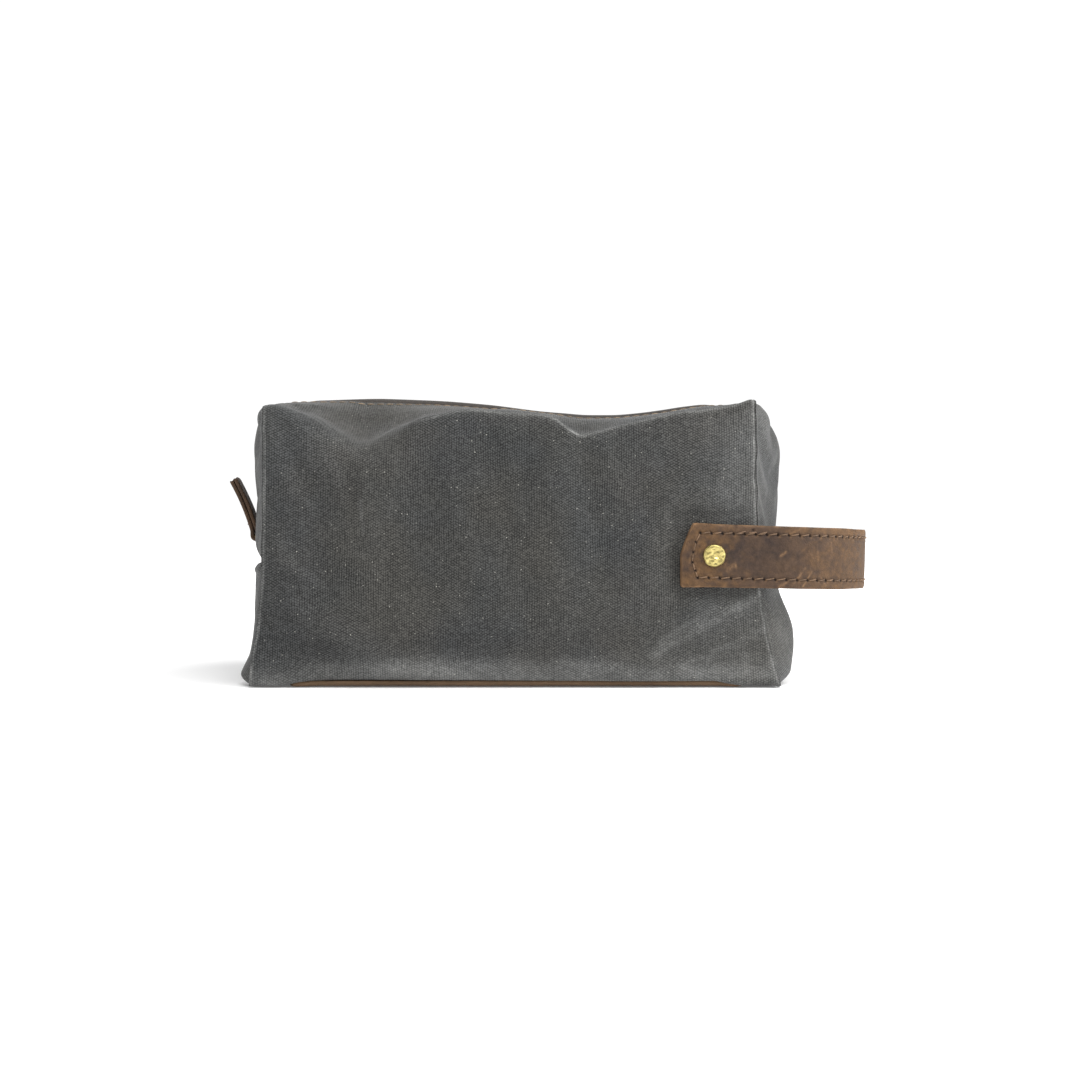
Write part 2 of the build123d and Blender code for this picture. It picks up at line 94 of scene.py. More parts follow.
def curve(stations, values):
    """Monotone cubic through the points, held level beyond both ends."""
    xs, ys = np.array(stations, float), np.array(values, float)
    step = np.diff(xs)
    rise = np.diff(ys) / step
    slope = np.zeros(len(xs))
    slope[0], slope[-1] = rise[0], rise[-1]
    for i in range(1, len(xs) - 1):
        if rise[i - 1] * rise[i] > 0:
            before, after = 2 * step[i] + step[i - 1], step[i] + 2 * step[i - 1]
            slope[i] = (before + after) / (before / rise[i - 1] + after / rise[i])

    def evaluate(x):
        x = np.clip(np.asarray(x, float), xs[0], xs[-1])
        i = np.clip(np.searchsorted(xs, x) - 1, 0, len(step) - 1)
        t = (x - xs[i]) / step[i]
        return (ys[i] * (1 + 2 * t) * (1 - t) ** 2 + slope[i] * step[i] * t * (1 - t) ** 2
                + ys[i + 1] * t * t * (3 - 2 * t) + slope[i + 1] * step[i] * t * t * (t - 1))

    return evaluate


def bell(x, centre, width):
    return np.exp(-((np.asarray(x, float) - centre) / width) ** 2)


def smoothstep(start, end, x):
    t = np.clip((np.asarray(x, float) - start) / (end - start), 0, 1)
    return t * t * (3 - 2 * t)


def segment_distance(x, z, start, end):
    """Distance from points to the segment, and the share along it."""
    dx, dz = end[0] - start[0], end[1] - start[1]
    share = np.clip(((x - start[0]) * dx + (z - start[1]) * dz) / (dx * dx + dz * dz), 0, 1)
    return np.hypot(x - start[0] - share * dx, z - start[1] - share * dz), share


def creases(x, z, table):
    """Sum of soft ridges; each entry is (start, end, width, height)."""
    return sum(height * bell(segment_distance(x, z, start, end)[0], 0, width)
               for start, end, width, height in table)


def unit(vectors):
    length = np.linalg.norm(vectors, axis=-1, keepdims=True)
    return vectors / np.maximum(length, 1e-9)


def grid_normals(points):
    return unit(np.cross(np.gradient(points, axis=0), np.gradient(points, axis=1)))


def grid_run(points, axis):
    """Distance travelled over a grid of points along one of its axes."""
    steps = np.linalg.norm(np.diff(points, axis=axis), axis=2)
    start = np.zeros_like(np.take(points[..., 0], [0], axis=axis))
    return np.concatenate([start, np.cumsum(steps, axis=axis)], axis=axis)


def run_length(points):
    return np.concatenate([[0], np.cumsum(np.linalg.norm(np.diff(points, axis=0), axis=1))])


def walk(points, distance):
    """The points at the given distances along a 3D polyline."""
    run = run_length(points)
    return np.stack([np.interp(distance, run, points[:, k]) for k in range(3)], -1)


# ---------------------------------------------------------------------------------------------
# Meshes
# ---------------------------------------------------------------------------------------------
def make_object(name, points, faces, material, attributes):
    """Smooth-shaded object from points in millimetres, with per-point attributes."""
    mesh = bpy.data.meshes.new(name)
    points = (np.asarray(points, float) * MM).tolist()
    mesh.from_pydata(points, [], [tuple(int(i) for i in face) for face in faces])
    mesh.validate(clean_customdata=False)
    mesh.polygons.foreach_set("use_smooth", [True] * len(mesh.polygons))
    for key, values in attributes.items():
        values = np.asarray(values, np.float32)
        kind, field = ("FLOAT", "value") if values.ndim == 1 else ("FLOAT_VECTOR", "vector")
        mesh.attributes.new(key, kind, "POINT").data.foreach_set(field, values.ravel())
    piece = bpy.data.objects.new(name, mesh)
    bpy.context.scene.collection.objects.link(piece)
    mesh.materials.append(material)
    return piece


def register(piece, slot, *stands_for, rides="bag", turn=None):
    """Hides the parts it stands for; without turn the piece rides its body, with turn its place is
    baked into its points and the shares are not used further.
    """
    if stands_for:
        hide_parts(*stands_for)
    if turn is None:
        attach(piece, rides)
    else:
        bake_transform(piece)


def grid_faces(rows, columns, base=0, flip=False):
    i, j = np.meshgrid(np.arange(rows - 1), np.arange(columns - 1), indexing="ij")
    corner = base + i * columns + j
    around = [corner, corner + columns, corner + columns + 1, corner + 1]
    faces = np.stack(around, -1).reshape(-1, 4)
    return faces[:, ::-1] if flip else faces


def grid_border(rows, columns):
    """Indices of the points round the edge of a grid, in order."""
    return np.array([i * columns for i in range(rows)]
                    + [(rows - 1) * columns + j for j in range(1, columns)]
                    + [i * columns + columns - 1 for i in range(rows - 2, -1, -1)]
                    + [j for j in range(columns - 2, 0, -1)])


def slab_faces(rows, columns, flip, rim_order):
    """Faces of two equal grids and the rim that joins them.
    rim_order picks from (this, its twin, the next one's twin, the next one)."""
    count = rows * columns
    border = grid_border(rows, columns)
    after = np.roll(border, -1)
    rim = np.stack([border, border + count, after + count, after], -1)
    return np.concatenate([grid_faces(rows, columns, 0, flip),
                           grid_faces(rows, columns, count, not flip), rim[:, rim_order]])


def sheet(name, outside, thickness, material, cloth_map=None, flip=False, **attributes):
    """A closed sheet: the grid is its outside, and the inside lies in along the normals."""
    normals = grid_normals(outside)
    if flip:
        normals = -normals
    points = np.stack([outside, outside - normals * thickness]).reshape(-1, 3)
    if cloth_map is None:
        cloth_map = np.stack([grid_run(outside, 0), grid_run(outside, 1)], -1)
    flat_map = np.tile(cloth_map.reshape(-1, 2), (2, 1))
    values = {"wuv": np.column_stack([flat_map, np.zeros(len(flat_map))])}
    for key, value in attributes.items():
        values[key] = np.tile(np.ravel(value), 2)
    rim_order = [0, 1, 2, 3] if flip else [3, 2, 1, 0]
    faces = slab_faces(*outside.shape[:2], flip, rim_order)
    return make_object(name, points, faces, material, values)


def leather_slab(name, first, second, flip, rim_order, material, wear, tone, hole):
    """Two equal grids joined at the rim; only the first one carries the holes."""
    faces = slab_faces(*first.shape[:2], flip, rim_order)
    attributes = {"wear": np.tile(np.clip(wear, 0, 1).ravel(), 2),
                  "tone": np.tile(np.clip(tone, 0, 1).ravel(), 2),
                  "hole": np.concatenate([hole.ravel(), 0 * hole.ravel()])}
    return make_object(name, np.stack([first, second]).reshape(-1, 3), faces, material, attributes)


def loft_sides(rings, sides, closed=False):
    """Quads between successive rings of points."""
    faces = []
    for i in range(rings if closed else rings - 1):
        here, there = i * sides, (i + 1) % rings * sides
        for j in range(sides):
            k = (j + 1) % sides
            faces.append((here + j, here + k, there + k, there + j))
    return faces


def loft_faces(rings, sides):
    """Loft with a flat face over each end."""
    ends = [tuple(range(sides - 1, -1, -1)), tuple(range((rings - 1) * sides, rings * sides))]
    return loft_sides(rings, sides) + ends


def tube(path, radius, sides, closed=False, up=(0, 0, 1)):
    """Points and faces of a round wire; radius may be a list."""
    path = np.asarray(path, float)
    count = len(path)
    radius = np.broadcast_to(np.asarray(radius, float), (count,))[:, None, None]
    along = np.roll(path, -1, 0) - np.roll(path, 1, 0) if closed else np.gradient(path, axis=0)
    along = unit(along)
    side = np.cross(along, np.array(up, float))
    parallel = np.linalg.norm(side, axis=1) < 1e-3
    side[parallel] = np.cross(along[parallel], np.array([0.3, 0.9, 0.1]))
    side /= np.linalg.norm(side, axis=1, keepdims=True)
    upward = np.cross(side, along)
    angle = (np.arange(sides) * 2 * PI / sides)[None, :, None]
    circle = np.cos(angle) * side[:, None] + np.sin(angle) * upward[:, None]
    points = (path[:, None] + radius * circle).reshape(-1, 3)
    faces = loft_sides(count, sides, closed)
    if not closed:
        first, last = len(points), len(points) + 1
        points = np.concatenate([points, path[:1], path[-1:]])
        end = (count - 1) * sides
        for j in range(sides):
            k = (j + 1) % sides
            faces.append((first, k, j))
            faces.append((last, end + j, end + k))
    return points, faces


class Parts:
    """Collects many small solids into one piece, each with its own shade."""

    def __init__(self):
        self.points, self.faces, self.shades, self.count = [], [], [], 0

    def add(self, points, faces, shade=0.5):
        self.points.append(np.asarray(points, float))
        self.faces += [tuple(int(i) + self.count for i in face) for face in faces]
        self.shades.append(np.full(len(points), shade))
        self.count += len(points)

    def build(self, name, material):
        shades = {"shade": np.concatenate(self.shades)}
        return make_object(name, np.concatenate(self.points), self.faces, material, shades)


def fix_normals(piece):
    work = bmesh.new()
    work.from_mesh(piece.data)
    bmesh.ops.recalc_face_normals(work, faces=work.faces)
    work.to_mesh(piece.data)
    work.free()
    piece.data.update()


def bevel(piece, width):
    modifier = piece.modifiers.new("bevel", "BEVEL")
    modifier.width = width * MM
    modifier.segments = 2
    modifier.limit_method = "ANGLE"
    modifier.angle_limit = math.radians(35)
    bpy.context.view_layer.objects.active = piece
    piece.select_set(True)
    bpy.ops.object.modifier_apply(modifier=modifier.name)
    piece.select_set(False)


# ---------------------------------------------------------------------------------------------
# Materials
# ---------------------------------------------------------------------------------------------
def srgb(*channels):
    def linear(c):
        return c / 12.92 if c <= 0.04045 else ((c + 0.055) / 1.055) ** 2.4
    return (*(linear(c / 255) for c in channels), 1.0)


class Shader:
    """A material being wired up; most methods add a node and return its output."""

    def __init__(self, name):
        self.material = bpy.data.materials.new(name)
        self.material.use_nodes = True
        self.tree = self.material.node_tree
        self.tree.nodes.clear()
        output = self.tree.nodes.new("ShaderNodeOutputMaterial")
        self.surface = self.tree.nodes.new("ShaderNodeBsdfPrincipled")
        self.tree.links.new(self.surface.outputs[0], output.inputs[0])

    def put(self, socket, value):
        if isinstance(value, bpy.types.NodeSocket):
            self.tree.links.new(value, socket)
        else:
            socket.default_value = value

    def node(self, kind, inputs, **settings):
        node = self.tree.nodes.new("ShaderNode" + kind)
        for key, value in settings.items():
            setattr(node, key, value)
        for key, value in inputs.items():
            self.put(node.inputs[key], value)
        return node

    def math(self, operation, *values, clamp=False):
        inputs = dict(enumerate(values))
        return self.node("Math", inputs, operation=operation, use_clamp=clamp).outputs[0]

    def times(self, value, factor, clamp=False):
        return self.math("MULTIPLY", value, factor, clamp=clamp)

    def plus(self, value, other):
        return self.math("ADD", value, other)

    def added(self, value, amount, to):
        return self.math("MULTIPLY_ADD", value, amount, to)

    def centred(self, value):
        """Shifts a 0..1 value to -0.5..0.5."""
        return self.math("SUBTRACT", value, 0.5)

    def attribute(self, name, output="Fac"):
        return self.node("Attribute", {}, attribute_name=name).outputs[output]

    def position(self):
        return self.node("TexCoord", {}).outputs["Object"]

    def scaled(self, vector, factor):
        return self.node("VectorMath", {0: vector, 3: factor}, operation="SCALE").outputs[0]

    def separate(self, vector):
        return self.node("SeparateXYZ", {0: vector}).outputs

    def combine(self, x, y, z=0.0):
        return self.node("CombineXYZ", {0: x, 1: y, 2: z}).outputs[0]

    def noise(self, vector, scale, detail=3, roughness=0.5, distortion=0.0):
        inputs = {"Vector": vector, "Scale": scale, "Detail": detail, "Roughness": roughness,
                  "Distortion": distortion}
        return self.node("TexNoise", inputs).outputs["Fac"]

    def voronoi(self, vector, scale, feature="F1"):
        inputs = {"Vector": vector, "Scale": scale, "Randomness": 1.0}
        return self.node("TexVoronoi", inputs, feature=feature).outputs

    def remap(self, value, span, to=(0, 1)):
        inputs = dict(enumerate((value, *span, *to)))
        return self.node("MapRange", inputs, clamp=True).outputs[0]

    def mix(self, share, first, second, mode="MIX"):
        inputs = {0: share, 6: first, 7: second}
        return self.node("Mix", inputs, data_type="RGBA", blend_type=mode).outputs[2]

    def shade(self, color, level):
        """Multiplies a colour by a grey level."""
        return self.mix(1.0, color, self.combine(level, level, level), "MULTIPLY")

    def bump(self, height, strength, distance, over=None):
        inputs = {"Strength": strength, "Distance": distance, "Height": height}
        if over is not None:
            inputs["Normal"] = over
        return self.node("Bump", inputs).outputs[0]

    def set(self, **inputs):
        for key, value in inputs.items():
            self.put(self.surface.inputs[key.replace("_", " ")], value)


def canvas_material(name, base, bloomed, warm, weave=1.0, warp_pitch=1.04, weft_pitch=0.58):
    """Waxed duck: warp ribs over a finer weft, pale wax bloom and painted light, pale worn edges
    and fibre specks.
    """
    m = Shader(name)
    cloth = m.attribute("wuv", "Vector")
    across, along = m.separate(cloth)[:2]
    position = m.position()

    # the threads wander a little
    shifted = m.node("VectorMath", {0: cloth, 1: (31.0, 7.0, 3.0)}, operation="ADD").outputs[0]
    wander_across = m.noise(m.scaled(cloth, factor=0.09), scale=1.0, detail=2)
    wander_along = m.noise(m.scaled(shifted, factor=0.11), scale=1.0, detail=2)
    across = m.plus(across, m.times(m.centred(wander_across), factor=1.6))
    along = m.plus(along, m.times(m.centred(wander_along), factor=1.6))
    warp = m.math("COSINE", m.times(across, PI / warp_pitch))
    weft = m.math("COSINE", m.times(along, PI / weft_pitch))
    check = m.times(warp, weft)
    rib = m.math("COSINE", m.times(across, 2 * PI / warp_pitch))

    # each thread crossing is a little lighter or darker than the next
    crossing = m.combine(m.math("FLOOR", m.math("DIVIDE", across, warp_pitch)),
                         m.math("FLOOR", m.math("DIVIDE", along, weft_pitch)))
    random = m.node("TexWhiteNoise", {"Vector": crossing}, noise_dimensions="2D").outputs["Value"]
    skew, mean = 1.7, 0.37      # darkens most crossings, then takes off the average
    crossing_tone = m.math("SUBTRACT", m.math("POWER", random, skew), mean)
    area = m.noise(m.scaled(cloth, factor=0.035), scale=1.0, detail=2)
    grain = m.centred(m.noise(m.scaled(cloth, factor=1.0), scale=1.9, detail=3, roughness=0.75))
    check_amount = m.remap(area, span=(0.3, 0.7), to=(0.72 * weave, 0.36 * weave))
    rib_amount = m.remap(area, span=(0.3, 0.7), to=(0.10 * weave, 0.46 * weave))
    tone = m.added(check, amount=check_amount, to=1.0)
    tone = m.added(rib, amount=rib_amount, to=tone)
    tone = m.added(crossing_tone, amount=0.74 * weave, to=tone)
    tone = m.added(grain, amount=1.45 * weave, to=tone)

    # slow changes of tone
    broad = m.centred(m.noise(position, scale=14.0, detail=3, roughness=0.55))
    patchy = m.centred(m.noise(position, scale=70.0, detail=4, roughness=0.6))
    tone = m.added(broad, amount=0.55, to=tone)
    tone = m.added(patchy, amount=0.42, to=tone)
    darkest = 0.12
    tone = m.math("MAXIMUM", tone, darkest)
    warmth = m.remap(m.noise(position, scale=26.0, detail=2), span=(0.35, 0.65))
    color = m.shade(m.mix(warmth, base, warm), tone)

    # pale wax bloom and painted light where the mesh asks for it, with part of the weave showing
    # through
    patches = m.noise(position, scale=160.0, detail=4, roughness=0.7)
    patches = m.remap(patches, span=(0.25, 0.7), to=(0.45, 1.25))
    bloom = m.times(m.attribute("bloom"), patches, clamp=True)
    soft_tone = m.added(m.math("SUBTRACT", tone, 1.0), amount=0.55, to=1.0)
    color = m.mix(bloom, color, m.shade(bloomed, soft_tone))

    # pale specks of fibre in a fifth of the cells
    cells = m.voronoi(cloth, scale=0.80)
    chance = m.node("SeparateColor", {0: cells["Color"]}).outputs
    rare, fading = 0.80, 2.5
    dot = m.remap(cells["Distance"], span=(0.10, 0.24), to=(1, 0))
    speck = m.times(m.math("GREATER_THAN", chance[0], rare), dot)
    speck = m.times(speck, m.math("POWER", chance[1], fading))
    color = m.mix(speck, color, srgb(168, 166, 158))

    relief = m.plus(m.times(check, factor=0.5),
                    m.plus(m.times(rib, factor=0.35), m.times(grain, factor=1.2)))
    normal = m.bump(relief, strength=0.55 * weave, distance=0.00016)
    rumple = m.noise(position, scale=120.0, detail=3, roughness=0.6)
    normal = m.bump(rumple, strength=0.25, distance=0.0006, over=normal)
    m.set(Base_Color=color, Roughness=m.remap(tone, span=(0.4, 1.6), to=(0.78, 0.60)),
          Specular_IOR_Level=0.28, Sheen_Weight=0.18, Sheen_Roughness=0.45,
          Sheen_Tint=srgb(205, 205, 205), Normal=normal)
    return m.material


def leather_material(name, base, dark, light, edge):
    """Oiled leather: cloudy colour, pale scuffs, holes painted dark as the shade inside them, and
    rubbed edges.
    """
    m = Shader(name)
    position = m.position()
    cloud = m.noise(position, scale=75.0, detail=5, roughness=0.68, distortion=0.5)
    fine = m.noise(position, scale=420.0, detail=4, roughness=0.7)
    color = m.mix(m.remap(cloud, span=(0.34, 0.64)), dark, base)
    # the tone attribute pales towards the light colour; on the carry loop part of it is painted
    # light towards the turn
    color = m.mix(m.times(m.attribute("tone"), factor=1.0, clamp=True), color, light)
    color = m.shade(color, m.remap(fine, span=(0.25, 0.75), to=(0.58, 1.45)))

    # short pale scuffs
    squeezed = m.node("Mapping", {"Rotation": (0.0, 0.9, 0.35), "Scale": (1.0, 1.0, 7.0),
                                  0: position}).outputs[0]
    scuffs = m.noise(squeezed, scale=210.0, detail=3, roughness=0.6)
    color = m.mix(m.remap(scuffs, span=(0.62, 0.80), to=(0, 0.55)), color, light)
    wear = m.attribute("wear")
    patches = m.noise(position, scale=300.0, detail=4, roughness=0.7)
    patches = m.remap(patches, span=(0.25, 0.65), to=(0.35, 1.25))
    color = m.mix(m.times(wear, patches, clamp=True), color, edge)
    # painted shade: the stitch holes are darkened to near black
    hole = m.times(m.attribute("hole"), factor=1.0, clamp=True)
    color = m.mix(hole, color, srgb(28, 18, 12))

    pores = m.voronoi(position, scale=900.0, feature="DISTANCE_TO_EDGE")["Distance"]
    relief = m.plus(m.remap(pores, span=(0.0, 0.25)), m.times(fine, factor=0.9))
    normal = m.bump(relief, strength=0.30, distance=0.00025)
    normal = m.bump(cloud, strength=0.35, distance=0.0009, over=normal)
    m.set(Base_Color=color, Roughness=m.remap(fine, span=(0.2, 0.8), to=(0.56, 0.78)),
          Specular_IOR_Level=0.22, Normal=normal)
    return m.material


def thread_material(name, light, dark):
    """Twisted thread; each stitch has its own shade."""
    m = Shader(name)
    position = m.position()
    shade = m.attribute("shade")
    mottle = m.noise(position, scale=1500.0, detail=2, roughness=0.6)
    color = m.mix(m.remap(mottle, span=(0.3, 0.7)), light, dark)
    color = m.shade(color, m.remap(shade, span=(0.0, 1.0), to=(0.72, 1.28)))
    twist = m.node("TexWave", {"Scale": 900.0, "Vector": position},
                   bands_direction="DIAGONAL").outputs["Fac"]
    m.set(Base_Color=color, Roughness=0.6, Normal=m.bump(twist, strength=0.5, distance=0.0001))
    return m.material


def tape_material(name, base):
    """Twill zipper tape: fine herringbone ribs."""
    rib_pitch, chevron_height, chevron_slant = 0.7, 3.2, 14.0
    m = Shader(name)
    along, across = m.separate(m.attribute("wuv", "Vector"))[:2]
    repeat = m.math("FRACT", m.math("DIVIDE", across, chevron_height))
    chevron = m.math("ABSOLUTE", m.centred(repeat))
    rib = m.math("SINE", m.plus(m.times(along, 2 * PI / rib_pitch),
                                m.times(chevron, chevron_slant)))
    fuzz = m.noise(m.position(), scale=500.0, detail=3, roughness=0.6)
    level = m.added(rib, amount=0.18, to=m.remap(fuzz, span=(0.2, 0.8), to=(0.7, 1.35)))
    m.set(Base_Color=m.shade(base, level), Roughness=0.85, Sheen_Weight=0.2,
          Normal=m.bump(m.plus(rib, fuzz), strength=0.5, distance=0.00012))
    return m.material


def metal_material(name, base, dark, roughness, patina):
    m = Shader(name)
    position = m.position()
    stain = m.noise(position, scale=380.0, detail=4, roughness=0.65)
    color = m.mix(m.remap(stain, span=(0.35, 0.72), to=(0, patina)), base, dark)
    pitting = m.noise(position, scale=900.0, detail=3, roughness=0.6)
    m.set(Base_Color=color, Metallic=1.0,
          Roughness=m.remap(stain, span=(0.25, 0.8), to=(roughness, roughness + 0.25)),
          Normal=m.bump(pitting, strength=0.12, distance=0.0001))
    return m.material


CANVAS = canvas_material("waxed_canvas", base=srgb(51, 52, 52), bloomed=srgb(140, 140, 138),
                         warm=srgb(56, 55, 52))
LINING = canvas_material("cotton_lining", base=srgb(150, 138, 118), bloomed=srgb(180, 168, 150),
                         warm=srgb(142, 128, 108), weave=0.45, warp_pitch=0.5, weft_pitch=0.5)
STRAP = leather_material("strap_leather", base=srgb(78, 60, 46), dark=srgb(54, 43, 38),
                         light=srgb(94, 69, 44), edge=srgb(128, 98, 70))
BASE_LEATHER = leather_material("base_leather", base=srgb(90, 71, 54), dark=srgb(66, 52, 41),
                                light=srgb(106, 83, 60), edge=srgb(100, 79, 59))
PULL_LEATHER = leather_material("pull_leather", base=srgb(58, 46, 36), dark=srgb(42, 34, 28),
                                light=srgb(84, 64, 48), edge=srgb(84, 64, 48))
THREAD = thread_material("brown_thread", light=srgb(124, 97, 72), dark=srgb(92, 70, 50))
ZIPPER_THREAD = thread_material("zipper_thread", light=srgb(142, 124, 100), dark=srgb(108, 90, 70))
TAPE = tape_material("zipper_tape_twill", base=srgb(52, 46, 41))
BRASS = metal_material("hammered_brass", base=srgb(206, 190, 124), dark=srgb(138, 120, 64),
                       roughness=0.22, patina=0.5)
ANTIQUE = metal_material("antique_brass", base=srgb(156, 134, 92), dark=srgb(70, 56, 38),
                         roughness=0.35, patina=0.8)

# ---------------------------------------------------------------------------------------------
# The bag's own lines, in millimetres: stations, then values
# ---------------------------------------------------------------------------------------------
# corner seams: x by height, then size, wavelength and seed of the wobble
SEAMS = {
    "left": (curve([0, 3.4, 10, 17.5, 28, 40, 57, 75, 125],
                   [-114.6, -114.3, -113.6, -112.7, -111.1, -109.6, -108.7, -108.4, -108.5]),
             0.22, 7.0, 31),
    "right": (curve([0, 3, 10, 20.5, 42, 57, 72, 125],
                    [114.0, 112.8, 110.8, 108.5, 105.2, 103.9, 103.1, 102.8]),
              0.30, 6.0, 32),
}
# height of the wall's foot, by x
FOOT_Z = curve([-115, -101.5, -95, -86, -75, -63, -32, 53, 81, 86, 92, 114],
               [0.3, 0.6, 1.8, 2.8, 3.1, 3.1, 2.9, 2.5, 2.5, 1.5, 0.7, 0.4])
# where wall turns into top: height of the fold and how softly it bends, both by x
FOLDS = {
    "front": (
        curve([-109, -103, -92, -80, -74, -68.5, -62, -55, -47, -41, -34, -25, -18, -10,
               0, 12, 17, 23, 28.6, 35, 44, 53, 63, 74, 85, 95, 101, 104],
              [121.6, 121.3, 116.4, 106.8, 102.0, 99.6, 101.5, 106.4, 112.2, 115.4, 117.3,
               119.4, 119.8, 119.0, 118.2, 117.3, 115.6, 111.0, 108.8, 110.2, 112.6, 114.8,
               117.3, 118.9, 120.2, 122.2, 124.0, 124.6]),
        curve([-109, -98, -86, -72, -58, -48, -38, -28, 0, 18, 29, 42, 60, 95, 104],
              [6, 8, 14, 19, 15, 9, 5, 3.6, 3.6, 3.0, 2.4, 2.8, 3.2, 3.6, 3.0])),
    "back": (
        curve([-109, -95, -70, -50, -20, 5, 30, 55, 80, 97, 104],
              [121.4, 119.2, 115.0, 117.5, 119.4, 116.4, 113.6, 117.8, 117.0, 120.2, 122.6]),
        curve([-109, -80, -50, 0, 30, 60, 104], [4, 8, 6, 4, 6, 4, 3.5])),
}
# crest of the closed zipper along the top
CREST_Z = curve([-110, -102, -86, -75, -65, -57, -46, -35, -23, -12, -1,
                 10, 22, 33, 44, 55, 67, 78, 89, 97, 104],
                [127.2, 127.7, 128.2, 128.6, 128.8, 128.6, 128.2, 127.7, 126.8, 125.8, 124.4,
                 123.0, 122.0, 121.2, 121.2, 122.0, 123.5, 125.2, 126.2, 125.9, 124.8])
# how far the canvas edge stands proud of the zipper's line, by x
LIP = curve([-125, -119, -112, -100, -86, -78, -70, -14, -5, 0,
             10, 18, 28, 66, 78, 88, 97, 106, 115, 122],
            [1.0, 1.0, 1.3, 1.1, 0.95, 0.7, -0.3, -0.4, 0.6, 0.9,
             0.9, 0.6, 0.2, 0.2, 0.4, 0.9, 1.1, 1.2, 1.2, 1.2])
LIP_LEFT, LIP_RIGHT = -106.0, 101.5     # the side panels meet the zipper between these x
LIP_Y = 7.6                             # half the gap between the two canvas hems
HEM_RADIUS = 0.75
CLOTH = 0.8
STRAP_LEFT, STRAP_BOTTOM, STRAP_TOP = 70.0, 43.0, 71.5      # cloth held flat by the strap


def seam_x(side, z):
    line, size, wavelength, seed = SEAMS[side]
    return line(z) + size * value_noise(z / wavelength, 0.0, seed)


# the zipper's line in xz, from the left end seam over the top to the right end seam
LEFT_FOOT, LEFT_HEAD = np.array([-114.4, 51.1]), np.array([-121.3, 106.0])
RIGHT_FOOT, RIGHT_HEAD = np.array([116.4, 51.1]), np.array([119.8, 104.0])
LEFT_CORNER = [(-120.2, 111.5), (-119.0, 116.9), (-116.8, 121.4), (-113.0, 124.4),
               (-107.8, 125.8), (-102.5, 126.3)]
RIGHT_CORNER = [(92.0, 124.8), (98.0, 124.3), (104.0, 123.4), (109.2, 121.6),
                (113.6, 118.3), (116.8, 113.7), (118.9, 109.0)]


def zipper_line():
    """Distance, x, z and direction along the smoothed zipper line."""
    share = np.linspace(0, 1, 20)[:, None]
    top_x = np.linspace(-97, 86, 62)
    control = np.concatenate([
        LEFT_FOOT + (LEFT_HEAD - LEFT_FOOT) * share + np.array([0.4, 0]) * share,
        LEFT_CORNER,
        np.stack([top_x, CREST_Z(top_x) - 1.3], -1),
        RIGHT_CORNER,
        RIGHT_HEAD + (RIGHT_FOOT - RIGHT_HEAD) * share])
    run = run_length(control)
    distance = np.linspace(0, run[-1], 1600)
    kernel = np.exp(-np.linspace(-2, 2, 41) ** 2)
    kernel /= kernel.sum()

    def smooth(values):
        padded = np.concatenate([2 * values[0] - values[20:0:-1], values,
                                 2 * values[-1] - values[-2:-22:-1]])
        return np.convolve(padded, kernel, "valid")

    x, z = (smooth(curve(run, control[:, k])(distance)) for k in (0, 1))
    dx, dz = np.gradient(x, distance), np.gradient(z, distance)
    length = np.hypot(dx, dz)
    return distance, x, z, dx / length, dz / length


LINE_RUN, LINE_X, LINE_Z, LINE_DX, LINE_DZ = zipper_line()
LINE_END = LINE_RUN[-1]


def zipper_at(distance):
    """x, z, direction (x, z) and outward normal (x, z) of the zipper line."""
    x, z, dx, dz = (np.interp(distance, LINE_RUN, values)
                    for values in (LINE_X, LINE_Z, LINE_DX, LINE_DZ))
    length = np.hypot(dx, dz)
    dx, dz = dx / length, dz / length
    return x, z, dx, dz, -dz, dx


def distance_at(x, start, end):
    part = (LINE_RUN > start) & (LINE_RUN < end)
    return float(np.interp(x, LINE_X[part], LINE_RUN[part]))


LIP_START = distance_at(LIP_LEFT, 60, 200)
LIP_END = distance_at(LIP_RIGHT, 200, LINE_END - 60)


def lip_offset(x, z=100.0):
    """How far the canvas edge stands out: prouder low on the left end."""
    return LIP(x) + 0.9 * (np.asarray(x) < -100) * (1 - smoothstep(66, 92, z))


def mouth(x):
    """Share of the mouth's opening turn at x: none at the ends, all in the middle."""
    return np.clip(1 - (np.asarray(x, float) / 99.0) ** 2, 0, 1) ** 1.15


# ---------------------------------------------------------------------------------------------
# Cloth
# ---------------------------------------------------------------------------------------------
CLOTH_FRAMES = 22
CLOTH_SCALE = 0.01      # ten times life size, so the solver works in comfortable numbers
CLOTH_REACH = 5.5       # no point moves further than this
CLOTH_SETTINGS = dict(
    quality=5, mass=0.3,
    tension_stiffness=20, compression_stiffness=20, shear_stiffness=8, bending_stiffness=4.0,
    tension_damping=12, compression_damping=12, bending_damping=2.0, air_damping=1.5)


def thinned(count, step):
    """Every so many indices, always with the last."""
    return np.unique(np.append(np.arange(0, count, step), count - 1))


